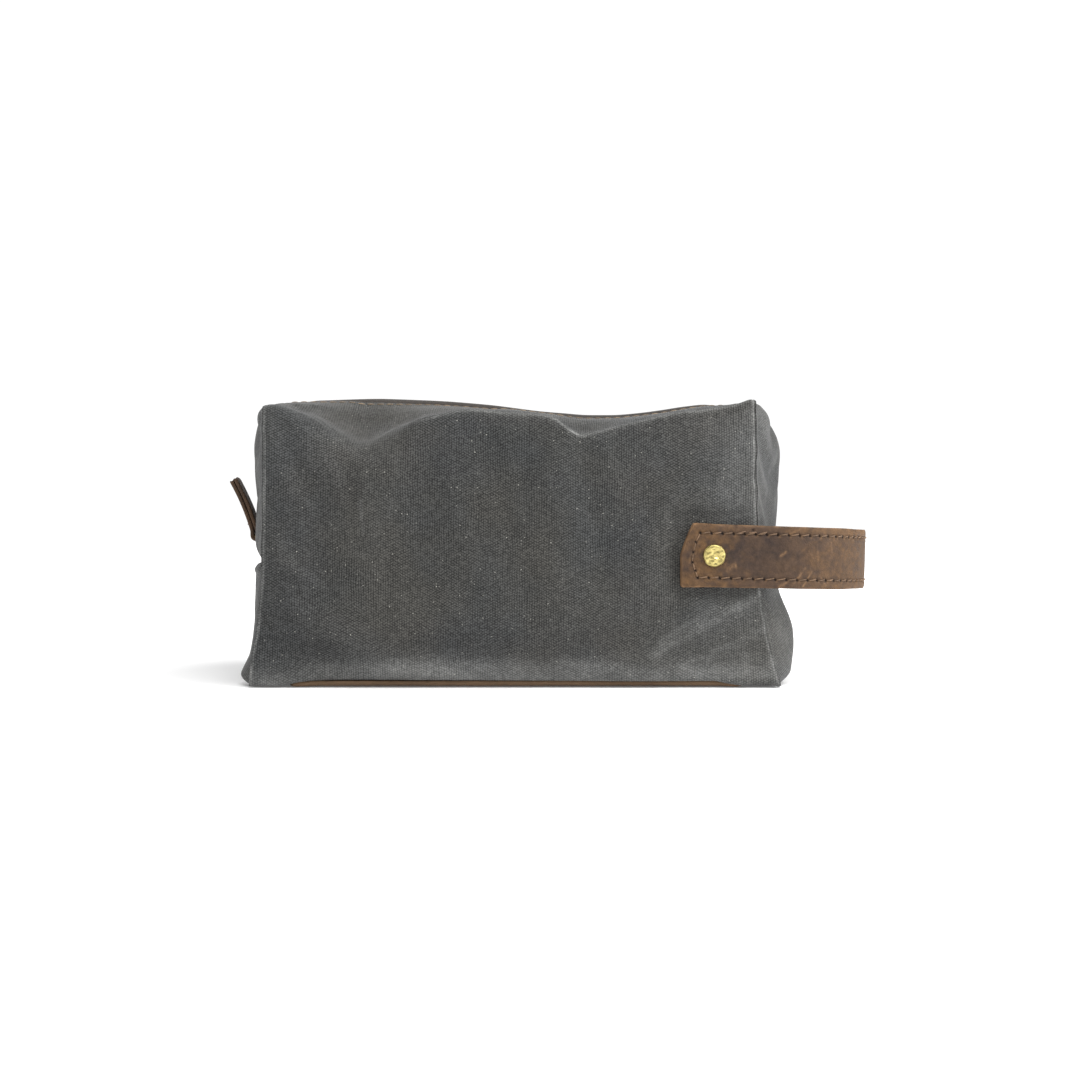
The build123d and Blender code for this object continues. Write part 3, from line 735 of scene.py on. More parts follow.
def simulate(points, hold, slack):
    """Lets a slack sheet sag and buckle between its held points; returns the shifts in mm."""
    mesh = bpy.data.meshes.new("cloth_tmp")
    mesh.from_pydata((points.reshape(-1, 3) * CLOTH_SCALE).tolist(), [],
                     grid_faces(*points.shape[:2]).tolist())
    piece = bpy.data.objects.new("cloth_tmp", mesh)
    scene = bpy.context.scene
    scene.collection.objects.link(piece)
    group = piece.vertex_groups.new(name="hold")
    for i, weight in enumerate(np.clip(hold, 0, 1).ravel()):
        if weight > 0.004:
            group.add([i], float(weight), "REPLACE")
    modifier = piece.modifiers.new("cloth", "CLOTH")
    for key, value in CLOTH_SETTINGS.items():
        setattr(modifier.settings, key, value)
    modifier.settings.shrink_min = -slack
    modifier.settings.vertex_group_mass = "hold"
    modifier.settings.pin_stiffness = 2.0
    modifier.point_cache.frame_start, modifier.point_cache.frame_end = 1, CLOTH_FRAMES
    start, end, current = scene.frame_start, scene.frame_end, scene.frame_current
    scene.frame_start, scene.frame_end = 1, CLOTH_FRAMES
    for frame_number in range(1, CLOTH_FRAMES + 1):
        scene.frame_set(frame_number)
    evaluated = piece.evaluated_get(bpy.context.evaluated_depsgraph_get())
    settled = np.zeros(len(mesh.vertices) * 3, np.float32)
    evaluated.data.vertices.foreach_get("co", settled)
    shift = settled.reshape(points.shape).astype(float) / CLOTH_SCALE - points
    bpy.data.objects.remove(piece)
    bpy.data.meshes.remove(mesh)
    scene.frame_start, scene.frame_end = start, end
    scene.frame_set(current)
    shift = np.nan_to_num(shift)
    length = np.linalg.norm(shift, axis=2, keepdims=True)
    return shift * np.minimum(1.0, CLOTH_REACH / np.maximum(length, 1e-9))


def spread(shift, columns, rows, shape):
    """Brings a coarse grid of shifts up to the full grid, smoothly."""
    tall = np.zeros((len(columns), shape[1], 3))
    full = np.zeros(shape)
    for k in range(3):
        for i in range(len(columns)):
            tall[i, :, k] = np.interp(np.arange(shape[1]), rows, shift[i, :, k], left=0, right=0)
        for j in range(shape[1]):
            full[:, j, k] = np.interp(np.arange(shape[0]), columns, tall[:, j, k])
    for _ in range(4):
        full[1:-1] = 0.25 * full[:-2] + 0.5 * full[1:-1] + 0.25 * full[2:]
        full[:, 1:-1] = 0.25 * full[:, :-2] + 0.5 * full[:, 1:-1] + 0.25 * full[:, 2:]
    return full


def settle(points, columns, rows, hold, slack):
    """Settles a grid as cloth, simulated on its chosen columns and rows."""
    shift = simulate(points[np.ix_(columns, rows)], hold, slack)
    return points + spread(shift, columns, rows, points.shape)


def hem_rows(edge, out, onward, tuck):
    """Rows that roll a cloth edge through a half turn and tuck it back under."""
    centre = edge - out * HEM_RADIUS
    rows = [centre + HEM_RADIUS * (math.cos(PI * t) * out + math.sin(PI * t) * onward)
            for t in np.linspace(0, 1, 8)[1:]]
    rows += [centre - out * HEM_RADIUS - onward * tuck * t for t in np.linspace(0, 1, 5)[1:]]
    return np.stack(rows, 1)


# ---------------------------------------------------------------------------------------------
# Side panels: from under the base, up the wall, over the fold, across to the zipper hem
# ---------------------------------------------------------------------------------------------
PANEL_COLUMNS = 216
# rows in each stretch of the section, in order
UNDER_ROWS, FOOT_ROWS, WALL_ROWS, FOLD_ROWS, TOP_ROWS, HEM_ROWS = 3, 6, 83, 24, 39, 12
WALL_START = UNDER_ROWS + FOOT_ROWS
FOLD_START = WALL_START + WALL_ROWS
TOP_START = FOLD_START + FOLD_ROWS
HEM_START = TOP_START + TOP_ROWS
ROWS = np.arange(HEM_START + HEM_ROWS)
FOOT_TURN = 2.6

# soft folds in the walls: start (x, z), end (x, z), width, height
WALL_FOLDS = {
    "front": (((-66, 90), (-63, 66), 3.0, 0.7), ((-106, 118), (-76, 98), 6.0, -1.6),
              ((58, 14), (104, 40), 3.2, 0.75), ((70, 9), (108, 26), 2.6, 0.6),
              ((52, 26), (92, 46), 5.0, -0.5), ((20, 10), (60, 6), 3.5, 0.5),
              ((-60, 8), (0, 9), 4.0, 0.45), ((-108, 58), (-84, 44), 3.5, 0.6),
              ((-104, 52), (-86, 36), 3.0, -0.45), ((40, 72), (62, 58), 4.0, 0.4)),
    "back": (((-95, 100), (-60, 74), 5.0, -1.0), ((30, 108), (24, 78), 6.0, -1.1),
             ((-100, 20), (-66, 42), 3.5, 0.8), ((60, 18), (98, 44), 3.5, 0.8),
             ((-20, 10), (30, 8), 4.0, 0.5)),
}
# bloom along folds of the front wall: start, end, width, strength
FOLD_BLOOM = (((58, 14), (104, 40), 2.2, 0.16), ((62, 20), (84, 34), 1.4, 0.14),
              ((70, 9), (108, 26), 1.6, 0.10), ((-68, 92), (-65, 66), 0.8, 0.16),
              ((20, 10), (60, 6), 3.0, 0.10), ((-60, 8), (0, 9), 4.0, 0.08))


def under_strap(x, z, margin):
    """1 where the strap holds the cloth down, fading out over the margin."""
    return (smoothstep(STRAP_LEFT - margin, STRAP_LEFT - 1, x)
            * (1 - smoothstep(STRAP_TOP + 1, STRAP_TOP + margin, z))
            * smoothstep(STRAP_BOTTOM - margin, STRAP_BOTTOM - 1, z))


def wall_relief(x, z, seed, face):
    """How far the wall stands out past its flat plane."""
    belly = np.cos(PI * np.clip(x / 232, -0.5, 0.5)) * np.sin(PI * np.clip(z / 112, 0, 1)) ** 0.8
    relief = (2.4 * belly + 1.5 * fractal(x / 62 + 5, z / 48, 2, seed)
              + 0.42 * fractal(x / 21, z / 19 + 3, 2, seed + 5)
              + 0.10 * fractal(x / 6, z / 6, 2, seed + 9))
    relief = relief + creases(x, z, WALL_FOLDS[face])
    if face == "front":
        # two dents that run down from the fold
        gap, share = segment_distance(x, z, (-74, 99), (-68, 62))
        relief = relief - 1.1 * bell(gap, 0, 4.5) * (1 - 0.6 * share)
        gap, share = segment_distance(x, z, (28.6, 110), (26, 84))
        relief = relief - 1.6 * bell(gap, 0, 5 + 7 * share) * (1 - share) ** 0.7
    held = under_strap(x, z, margin=8)
    return relief * (1 - held) - 0.15 * held


def panel_section(top_x, lip_x, face):
    """The flat section (y, z) of every column, drawn with the front's negative y."""
    fold_curve, soft_curve = FOLDS[face]
    softness = soft_curve(top_x)
    part = (LINE_RUN > LIP_START - 8) & (LINE_RUN < LIP_END + 8)
    lip_z = np.interp(lip_x, LINE_X[part], LINE_Z[part]) + lip_offset(lip_x)

    def at(y, z):
        return np.stack(np.broadcast_arrays(y, z), -1)[:, None]

    def line(start, end, rows):
        t = np.linspace(0, 1, rows + 1)[:-1, None]
        return start + (end - start) * t

    def bend(start, corner, end, rows):
        t = np.linspace(0, 1, rows + 1)[:-1, None]
        return (1 - t) ** 2 * start + 2 * t * (1 - t) * corner + t * t * end

    foot_z = FOOT_Z(top_x * 1.06)
    under = at(-50.0, foot_z + 0.7)
    foot = at(-55.9, foot_z)
    fold = at(-55.4, fold_curve(top_x))
    lip = at(-LIP_Y, lip_z)
    foot_start = foot + np.array([FOOT_TURN, 0.3])
    foot_end = foot + np.array([0, FOOT_TURN])
    fold_begin = fold - at(0.0, softness)
    fold_end = fold + unit(lip - fold) * np.minimum(softness * 1.15, 13.0)[:, None, None]
    return np.concatenate([line(under, foot_start, UNDER_ROWS),
                           bend(foot_start, foot, foot_end, FOOT_ROWS),
                           line(foot_end, fold_begin, WALL_ROWS),
                           bend(fold_begin, fold, fold_end, FOLD_ROWS),
                           line(fold_end, lip, TOP_ROWS),
                           np.repeat(lip, HEM_ROWS, axis=1)], 1)


def panel_shape(share, face, seed):
    """The panel before it settles: section, relief, and edges rolled in at the seams."""
    left, right = seam_x("left", 120), seam_x("right", 120)
    top_x = left + (right - left) * share
    lip_x = LIP_LEFT + (LIP_RIGHT - LIP_LEFT) * share
    y, z = np.moveaxis(panel_section(top_x, lip_x, face), -1, 0)
    share, top_x, lip_x = share[:, None], top_x[:, None], lip_x[:, None]
    height = np.clip(z, 0, 122)
    wall_x = seam_x("left", height)
    wall_x = wall_x + (seam_x("right", height) - wall_x) * share
    to_lip = np.clip((y + 55.4) / 48, 0, 1)
    x = np.where(ROWS < TOP_START, wall_x, top_x * (1 - to_lip) + lip_x * to_lip)

    # turn runs from 0 on the wall to 1 on the top
    turn = np.zeros(len(ROWS))
    turn[FOLD_START:TOP_START] = np.linspace(0, 1, FOLD_ROWS)
    turn[TOP_START:] = 1
    wall_share = 1 - smoothstep(0.1, 1.0, turn)
    wall_share[:WALL_START] = np.linspace(0, 1, WALL_START)
    y = y - wall_relief(x, z, seed, face) * wall_share

    # the top sags between fold and zipper
    top_share = np.zeros(len(ROWS))
    across_top = np.clip(np.linspace(0, 1, TOP_ROWS) / 0.84, 0, 1)
    top_share[TOP_START:HEM_START] = np.sin(PI * across_top) ** 1.3
    sag = (-0.8 - 1.1 * fractal(x / 40, y / 26, 2, seed + 20)
           - 0.4 * fractal(x / 12, y / 12, 2, seed + 22))
    if face == "front":
        sag = sag - 0.9 * bell(x, -66, 20) - 2.0 * bell(x, 31, 12)
    seam_share = np.minimum(share, 1 - share)
    z = z + sag * top_share * smoothstep(0.0, 0.10, seam_share)

    # cloth rolls in a little at both side seams
    roll = bell(seam_share * 212, 0, 1.5)
    amount = (0.4 + 0.9 * smoothstep(0, 12, ROWS - WALL_START)) * (1 - turn) + 0.6 * turn
    y = y + amount * np.cos(turn * PI / 2) * roll
    z = z - amount * np.sin(turn * PI / 2) * roll
    points = np.stack([x, y, z], -1)
    if face == "back":
        points[..., 1] *= -1
    return points


def settle_panel(points, face):
    """Settles a side panel, held at its seams, fold, hem and strap."""
    rows = np.arange(WALL_START - 2, HEM_START - 1, 3)
    columns = thinned(PANEL_COLUMNS, 3)
    coarse = points[np.ix_(columns, rows)]
    hold = np.full(coarse.shape[:2], 0.012)
    near_fold = bell(rows, FOLD_START + FOLD_ROWS * 0.5, FOLD_ROWS * 0.5)
    hold = np.maximum(hold, (0.75 if face == "front" else 0.4) * near_fold)
    hold = np.maximum(hold, np.where(rows >= TOP_START, 0.05, 0))
    hold[[0, -1]] = 1.0
    hold[:, :2] = 1.0
    hold[:, -4:] = 1.0
    hold = np.maximum(hold, under_strap(coarse[..., 0], coarse[..., 2], margin=7))
    return settle(points, columns, rows, hold, slack=0.012)


def panel_bloom(points, run, from_seam, face, seed):
    """Paler canvas: pale wax along the fold and seams and on the front's folds, pale wax with
    painted floor light near the foot, a painted highlight in the front's upper-left scoop and
    paler patches on the front wall's right half.
    """
    x, z = points[..., 0], points[..., 2]
    fold_row = FOLD_START + FOLD_ROWS // 2
    from_fold = np.abs(run - run[:, fold_row][:, None])
    softness = FOLDS[face][1](x[:, fold_row])[:, None]
    sharp = np.clip((7.0 - softness) / 4.0, 0, 1)
    wall = ROWS < FOLD_START
    bloom = (0.36 * bell(from_fold, 0, 0.70) * sharp
             * (0.75 + 0.5 * value_noise(x / 5, z / 5, seed + 8))
             + 0.07 * bell(from_fold, 0, 3.0) * sharp)
    bloom = bloom + (0.55 * bell(from_seam, 0.5, 0.5) * (ROWS < TOP_START)
                     * (0.8 + 0.4 * value_noise(x, z / 7, 5)))
    # pale wax plus painted floor light along the foot of the wall
    bloom = bloom + (0.30 * bell(z, 3, 8) * wall
                     * (0.75 + 0.6 * value_noise(x / 26, z / 9, seed + 3)))
    if face == "front":
        # painted highlight in the scoop below the front's top left corner, where the cloth faces
        # up
        bloom = bloom + (0.05 * bell(x, -66, 19) * bell(z, 103, 8)
                         * (0.8 + 0.5 * value_noise(x / 9, z / 7, 61)))
        bloom = bloom + 0.06 * bell(x, 80, 30) * bell(z, 22, 18)
        # first term: pale wax plus painted floor light in a band low on the front wall
        bloom = bloom + wall * (0.22 * bell(x, -36, 30) * bell(z, 8, 5)
                                + 0.10 * bell(x, 96, 14) * smoothstep(20, 60, z)
                                + 0.05 * bell(x, 80, 30) * bell(z, 95, 25)
                                + creases(x, z, FOLD_BLOOM))
    return np.clip(bloom, 0, 1)


def side_panel(face):
    """Builds one side panel; returns its points and how much each turns with the flap."""
    seed = 11 if face == "front" else 47
    share = np.linspace(0, 1, PANEL_COLUMNS)
    share = share - 0.028 * np.sin(2 * PI * share)      # columns crowd towards both seams
    points = settle_panel(panel_shape(share, face, seed), face)

    onward = points[:, HEM_START] - points[:, HEM_START - 3]
    onward[:, 0] = 0
    onward = unit(onward)
    y, z = onward[:, 1], onward[:, 2]
    out = np.stack([0 * y, -z * np.sign(y), np.abs(y)], -1)
    points[:, HEM_START + 1:] = hem_rows(points[:, HEM_START], out, onward, tuck=4.5)

    run = grid_run(points, 1)
    from_seam = (np.minimum(share, 1 - share) * 212)[:, None]
    x = points[..., 0]
    piece = sheet(f"canvas_{face}", points, CLOTH, CANVAS, np.stack([x, run], -1),
                  flip=face == "back", bloom=panel_bloom(points, run, from_seam, face, seed))
    past_fold = (ROWS - (FOLD_START + 2)) / (FOLD_ROWS + TOP_ROWS * 0.25)
    turn = mouth(x) * smoothstep(0.0, 1.0, past_fold)
    register(piece, "canvas", f"canvas_{face}_wall", f"canvas_top_{face}",
             rides=f"{face}_flap", turn=np.tile(turn.ravel(), 2))
    return points, turn


PANELS = {face: side_panel(face) for face in ("front", "back")}


# ---------------------------------------------------------------------------------------------
# Canvas ends
# ---------------------------------------------------------------------------------------------
def panel_edge(face, side, rows):
    """The stretch of a side panel's edge that an end piece is sewn to."""
    return PANELS[face][0][0 if side == "left" else -1][rows]


def sew_upright(cloth, column, edge, side, y_sign, tuck, nearness):
    """Pulls an upright edge of an end piece just inside the side panel's edge."""
    seam = cloth[:, column].copy()
    edge = edge[np.argsort(edge[:, 2])]
    x = np.interp(seam[:, 2], edge[:, 2], edge[:, 0]) - OUTWARD[side] * tuck
    y = y_sign * (np.interp(seam[:, 2], edge[:, 2], np.abs(edge[:, 1])) - 0.35)
    for axis, target in ((0, x), (1, y)):
        shift = np.clip(target - seam[:, axis], -2.5, 2.5)
        cloth[..., axis] += shift[:, None] * nearness


UPPER_BOTTOM = 51.6
# corner_z: top of the corner seam; bow: how the surface bows to the zipper; fill: soft filling;
# shoulder: fullness below the top corner (place, width, outward, upward);
# draw_in: how far the cloth draws in above the end seam
UPPER_ENDS = {
    "left": SimpleNamespace(corner_z=119.7, bow=1.04, fill=-0.5,
                            shoulder=(0.89, 0.11, 3.0, 2.6), draw_in=1.2),
    "right": SimpleNamespace(corner_z=121.5, bow=1.42, fill=0.0,
                             shoulder=(0.875, 0.13, 4.1, 2.1), draw_in=2.0),
}


def end_upper(side, face):
    """Upper part of one end, between the corner seam and the zipper hem, on one face."""
    shape = UPPER_ENDS[side]
    left, front = side == "left", face == "front"
    x_sign = OUTWARD[side]
    seed = 60 + 7 * left + 3 * front
    rise, across = np.linspace(0, 1, 84), np.linspace(0, 1, 50)
    seam_z = UPPER_BOTTOM + (shape.corner_z - UPPER_BOTTOM) * rise
    distance = LIP_START * rise if left else LINE_END - (LINE_END - LIP_END) * rise
    line_x, line_z, _, _, out_x, out_z = zipper_at(distance)
    offset = lip_offset(line_x, line_z)
    hem_x, hem_z = line_x + out_x * offset, line_z + out_z * offset
    up, over = np.meshgrid(rise, across, indexing="ij")
    weight = 1 - (1 - over) ** shape.bow
    x = seam_x(side, seam_z)[:, None] * (1 - weight) + hem_x[:, None] * weight
    y = -54.4 + (54.4 - LIP_Y) * over
    z = seam_z[:, None] * (1 - weight) + hem_z[:, None] * weight

    # soft filling between seam and zipper
    ones = np.ones_like(over)
    normal = unit(np.stack([out_x[:, None] * ones, -0.35 * (1 - over), out_z[:, None] * ones], -1))
    puff = (shape.fill * np.sin(PI * over ** 0.75) * np.sin(PI * up) ** 0.6
            + (0.6 * fractal(up * 2.2 + 3, over * 2.0, 2, seed)
               + 0.3 * fractal(up * 7, over * 6, 2, seed + 2)) * np.sin(PI * over) ** 0.5)
    if left:
        puff = (puff + 2.6 * bell(z, 68, 20.0) * np.sin(PI * over) ** 0.8
                + 0.8 * bell(z, 98, 14.0) * np.sin(PI * over))
    puff = puff * np.sin(PI * np.clip(up * 0.92 + 0.04, 0, 1)) ** 0.5
    place, width, outward, upward = shape.shoulder
    full = (bell(up, place, width) * bell(over, 0.30, 0.26) * (1 - np.exp(-over / 0.05))
            * smoothstep(1.0, 0.95, up))
    x = x + x_sign * outward * full
    z = z + upward * full
    puff = puff - shape.draw_in * bell(up, 0.06, 0.07) * np.sin(PI * over) ** 0.7
    points = np.stack([x, y, z], -1) + normal * puff[..., None]

    # the top edge is sewn to the edge of the side panel
    edge = panel_edge(face, side, slice(FOLD_START + 12, HEM_START))
    edge_y = -np.abs(edge[:, 1])
    order = np.argsort(edge_y)
    ramp = np.clip((up - 0.72) / 0.28, 0, 1) ** 2
    for axis, drop in ((0, 0.0), (2, 0.45)):
        target = np.interp(points[-1, :, 1], edge_y[order], edge[order, axis])
        shift = target - points[-1, :, axis] - drop
        shift[-1] *= 0.8
        points[..., axis] += shift[None, :] * ramp
    sew_upright(points, 0, panel_edge(face, side, slice(WALL_START, TOP_START)), side,
                y_sign=-1, tuck=0.25, nearness=np.exp(-(over / 0.05)))

    columns, rows = thinned(84, 2), thinned(50, 2)
    hold = np.full((len(columns), len(rows)), 0.05)
    hold[:1], hold[-2:], hold[:, :1], hold[:, -3:] = 1, 1, 1, 1
    points = settle(points, columns, rows, hold, slack=0.010)
    onward = unit(points[:, -1] - points[:, -2])
    out = np.stack([out_x, 0 * out_x, out_z], -1)
    points = np.concatenate([points, hem_rows(points[:, -1], out, onward, tuck=5.5)], 1)
    if not front:
        points[..., 1] *= -1

    across_run, up_run = grid_run(points, 1), grid_run(points, 0)
    bloom = (0.10 * bell(across_run, 0, 0.8) + 0.16 * bell(across_run, 11, 9)
             * (0.6 + 0.6 * value_noise(across_run / 14, up_run / 18, seed)))
    # painted light: the right end is lightened evenly
    if not left:
        bloom = bloom + 0.03
    name = f"canvas_{side}_end_upper_{face}"
    piece = sheet(name + "_cloth", points, CLOTH, CANVAS, np.stack([across_run, up_run], -1),
                  flip=left == front, bloom=np.clip(bloom, 0, 1))
    register(piece, "canvas", name)
    return points


ENDS = {(side, face): end_upper(side, face)
        for side in ("left", "right") for face in ("front", "back")}

# middle: x of the end's centre line by height; ear: height, height spread and outward size of
# the pillowed corners; last field: painted light spread evenly over the whole piece, which
# lightens the right end
LOWER_ENDS = {
    "left": SimpleNamespace(middle=curve([0, 6, 20, 35, 46, 53],
                                         [-114.5, -117.6, -118.9, -118.6, -117.9, -116.6]),
                            ear=(5.0, 7.0, 4.2), seed=90, bloom=0.0),
    "right": SimpleNamespace(middle=curve([0, 6, 18, 34, 46, 53],
                                          [113.6, 118.6, 122.0, 120.4, 118.9, 117.8]),
                             ear=(12.5, 9.0, 2.8), seed=97, bloom=0.06),
}


def end_lower(side):
    """Lower gusset of one end, seam to seam, pillowed, with the rolled seam on top."""
    shape, x_sign = LOWER_ENDS[side], OUTWARD[side]
    heights = 0.9 + (52.2 - 0.9) * np.linspace(0.0, 1.0, 62)
    z, across = np.meshgrid(heights, np.linspace(-1, 1, 110), indexing="ij")
    out = np.abs(across)
    weight = 1 - out ** 2.6
    x = (seam_x(side, heights)[:, None] * (1 - weight) + shape.middle(heights)[:, None] * weight)
    y = 54.0 * np.sign(across) * out ** 0.92
    ear_z, ear_spread, ear_size = shape.ear
    x = x + x_sign * (ear_size * bell(out, 0.70, 0.20) * bell(z, ear_z, ear_spread))
    low_corner = 1 - out ** 12
    if side == "right":
        x = x + 4.6 * bell(out, 0.64, 0.26) * bell(z, 25, 13.0)
        x = x + 3.0 * bell(out, 0.78, 0.20) * bell(z, 4, 6.0) * low_corner
    else:
        x = x - 2.2 * bell(out, 0.80, 0.18) * bell(z, 3.0, 4.0) * low_corner
    # groove right beside the corner seam
    x = x - x_sign * (0.25 + 0.65 * (out < 0.995)) * bell(out, 1, 0.055)
    x = x + x_sign * (1.0 * fractal(y / 30, z / 24, 2, shape.seed)
                      + 0.35 * fractal(y / 9, z / 9, 2, shape.seed + 3)) * (1 - out ** 6)
    # rolled seam at the top
    x = x + (x_sign * 2.1 * bell(z, 50.6, 1.9) * (0.55 + 0.45 * bell(out, 0.86, 0.12))
             * (1 - out ** 30))
    # foot turns under
    x = x - x_sign * 1.3 * np.exp(-(z - 0.9) / 2.2)
    points = np.stack([x, y, z], -1)
    for face, column in (("front", 0), ("back", -1)):
        y_sign = FACING[face]
        sew_upright(points, column, panel_edge(face, side, slice(UNDER_ROWS, FOLD_START)), side,
                    y_sign, tuck=0.3, nearness=np.exp(-(1 - out) / 0.04) * (across * y_sign > 0))
    # close the roll at the top by turning it inwards: how far in, how far up
    top = np.stack([points[-1] + np.array([-x_sign * inward, 0, up])
                    for inward, up in ((0.9, 0.9), (2.2, 1.2), (3.6, 0.9))])
    top[..., 1] *= 0.995
    points = np.concatenate([points, top], 0)

    across_run, up_run = grid_run(points, 1), grid_run(points, 0)
    from_seam = np.minimum(across_run, across_run[:, -1:] - across_run)
    # paler along the rolled seam and 14 mm in from the corner seams, plus the shape's even painted
    # light
    bloom = 0.16 * bell(points[..., 2], 50.6, 1.6) + 0.10 * bell(from_seam, 14, 9) + shape.bloom
    name = f"canvas_{side}_end_lower"
    piece = sheet(name + "_cloth", points, CLOTH, CANVAS, np.stack([across_run, up_run], -1),
                  flip=side == "right", bloom=np.clip(bloom, 0, 1))
    register(piece, "canvas", name)


end_lower("left")
end_lower("right")


# ---------------------------------------------------------------------------------------------
# Base: canvas floor and leather patch
# ---------------------------------------------------------------------------------------------
def base_cloth():
    """Canvas floor: above the patch in the middle, lower beyond its ends, raised at the rims."""
    x, y = np.meshgrid(112.4 * np.linspace(-1, 1, 120), 52.6 * np.linspace(-1, 1, 60),
                       indexing="ij")
    beyond = smoothstep(94, 106, np.abs(x))
    z = 2.15 * (1 - beyond) + 0.75 * beyond
    rim = smoothstep(46, 52.5, np.abs(y))
    z = z * (1 - rim) + np.maximum(FOOT_Z(x) + 0.95, z) * rim
    z = z + 0.12 * fractal(x / 20, y / 20, 2, 5) * beyond
    piece = sheet("canvas_base_cloth", np.stack([x, y, z], -1), CLOTH, CANVAS,
                  np.stack([x, y], -1), flip=True, bloom=0.10 * beyond)
    register(piece, "canvas", "canvas_base")


PATCH_HALF_X, PATCH_HALF_Y, PATCH_THICKNESS, PATCH_CORNER = 97.6, 55.0, 2.0, 5.0
PATCH_STITCH_INSET, PATCH_PITCH = 4.0, 4.4
PATCH_LIFT, PATCH_LIFT_FADE = 1.25, 3.2     # how far the rim curls up, and over what distance


def leather_patch():
    along_x, along_y = np.linspace(-1, 1, 230), np.linspace(-1, 1, 116)
    # rows crowd at the rim
    along_x = np.sign(along_x) * (1 - (1 - np.abs(along_x)) ** 1.12)
    along_y = np.sign(along_y) * (1 - (1 - np.abs(along_y)) ** 1.18)
    share_x, share_y = np.meshgrid(along_x, along_y, indexing="ij")
    x, y = PATCH_HALF_X * share_x, PATCH_HALF_Y * share_y
    from_end, from_side = PATCH_HALF_X - np.abs(x), PATCH_HALF_Y - np.abs(y)
    edge = np.minimum(from_end, from_side)

    # rounded corners, then a hand-cut edge
    core_x = np.clip(np.abs(x), 0, PATCH_HALF_X - PATCH_CORNER)
    core_y = np.clip(np.abs(y), 0, PATCH_HALF_Y - PATCH_CORNER)
    past_x, past_y = np.abs(x) - core_x, np.abs(y) - core_y
    in_corner = (past_x > 0) & (past_y > 0)
    reach = np.maximum(np.hypot(past_x, past_y), 1e-9)
    shrink = np.where(in_corner, np.maximum(past_x, past_y) / reach, 1.0)
    x = np.sign(x) * (core_x + past_x * shrink)
    y = np.sign(y) * (core_y + past_y * shrink)
    waver = 0.35 * fractal(x / 9, y / 9, 2, 33)
    at_end = np.abs(share_x) > np.abs(share_y) * 0.6
    x = x + np.sign(x) * waver * np.exp(-edge / 3) * at_end
    y = y + np.sign(y) * waver * 0.6 * np.exp(-edge / 3)

    lift = (PATCH_LIFT * np.exp(-edge / PATCH_LIFT_FADE)
            * (1 - 0.6 * smoothstep(84, 96, np.abs(x))) * smoothstep(9.0, 6.0, edge))
    # stitch channel and holes; the holes are painted dark as shade
    along = np.where(from_end < from_side, y, x)
    from_line = np.abs(edge - PATCH_STITCH_INSET)
    from_hole = (((along / PATCH_PITCH + 0.5) % 1) - 0.5) * PATCH_PITCH
    hole = bell(from_line, 0, 0.45) * bell(from_hole, 0, 0.55)
    channel = bell(from_line, 0, 0.8)
    rounding = np.exp(-edge / 0.45)
    bottom = lift + 0.5 * channel + 0.5 * hole + 0.55 * rounding
    bumps = 0.22 * np.abs(np.sin(PI * along / PATCH_PITCH)) * np.exp(-edge / 1.6)
    bottom = bottom - np.minimum(bumps, np.maximum(bottom - 0.02, 0))
    top = lift + PATCH_THICKNESS - 0.22 * rounding
    piece = leather_slab("leather_base_patch", np.stack([x, y, bottom], -1),
                         np.stack([x, y, top], -1), True, [0, 3, 2, 1], BASE_LEATHER,
                         wear=0.9 * np.exp(-edge / 0.9) + 0.3 * channel,
                         tone=0.25 + 0.35 * fractal(x / 16, y / 16, 3, 71), hole=hole)
    register(piece, "leather", "leather_base_panel")


def patch_stitches():
    """Stitches under the patch: the two long rows, then the two short ones."""
    line_x, line_y = PATCH_HALF_X - PATCH_STITCH_INSET, PATCH_HALF_Y - PATCH_STITCH_INSET
    lift = PATCH_LIFT * math.exp(-PATCH_STITCH_INSET / PATCH_LIFT_FADE)
    t = np.linspace(0, 1, 6)
    z = 0.50 + lift * 0.9 + 0.35 * (2 * t - 1) ** 4 - 0.18 * np.sin(PI * t)
    z = np.maximum(z, 0.33)
    stitches = Parts()
    rng = np.random.default_rng(3)
    for long_row, half_length, inset in ((True, line_x, line_y), (False, line_y, line_x)):
        count = int((half_length - 1.0) / PATCH_PITCH)
        for sign in (-1, 1):
            across = sign * inset + 0.25 * (t - 0.5)
            for i in range(-count, count):
                start, end = i * PATCH_PITCH + 0.35, (i + 1) * PATCH_PITCH - 0.35
                along = start + (end - start) * t
                path = np.stack([along, across, z] if long_row else [across, along, z], -1)
                points, faces = tube(path, [0.18, 0.30, 0.32, 0.32, 0.30, 0.18], 6)
                stitches.add(points, faces, float(rng.uniform(0.2, 1)))
    register(stitches.build("base_stitches", THREAD), "thread", "base_stitching")


base_cloth()
leather_patch()
patch_stitches()

# ---------------------------------------------------------------------------------------------
# Zipper
# ---------------------------------------------------------------------------------------------
TOP_Z = 112             # above this the zipper's points get a turn share for the flaps
TOOTH_PITCH = 2.6
TEETH_INSET = 4.6
# one tooth, from its legs to its nose: distance out, half width, half height
TOOTH_PROFILE = [(-3.3, 0.45, 1.05), (-2.6, 0.62, 1.25), (-1.2, 0.62, 1.25), (-0.6, 0.55, 1.15),
                 (0.15, 0.55, 0.95), (0.75, 0.46, 0.72), (1.0, 0.28, 0.45)]
TOOTH_CORNER = 0.30
HEM_PITCH = 4.4


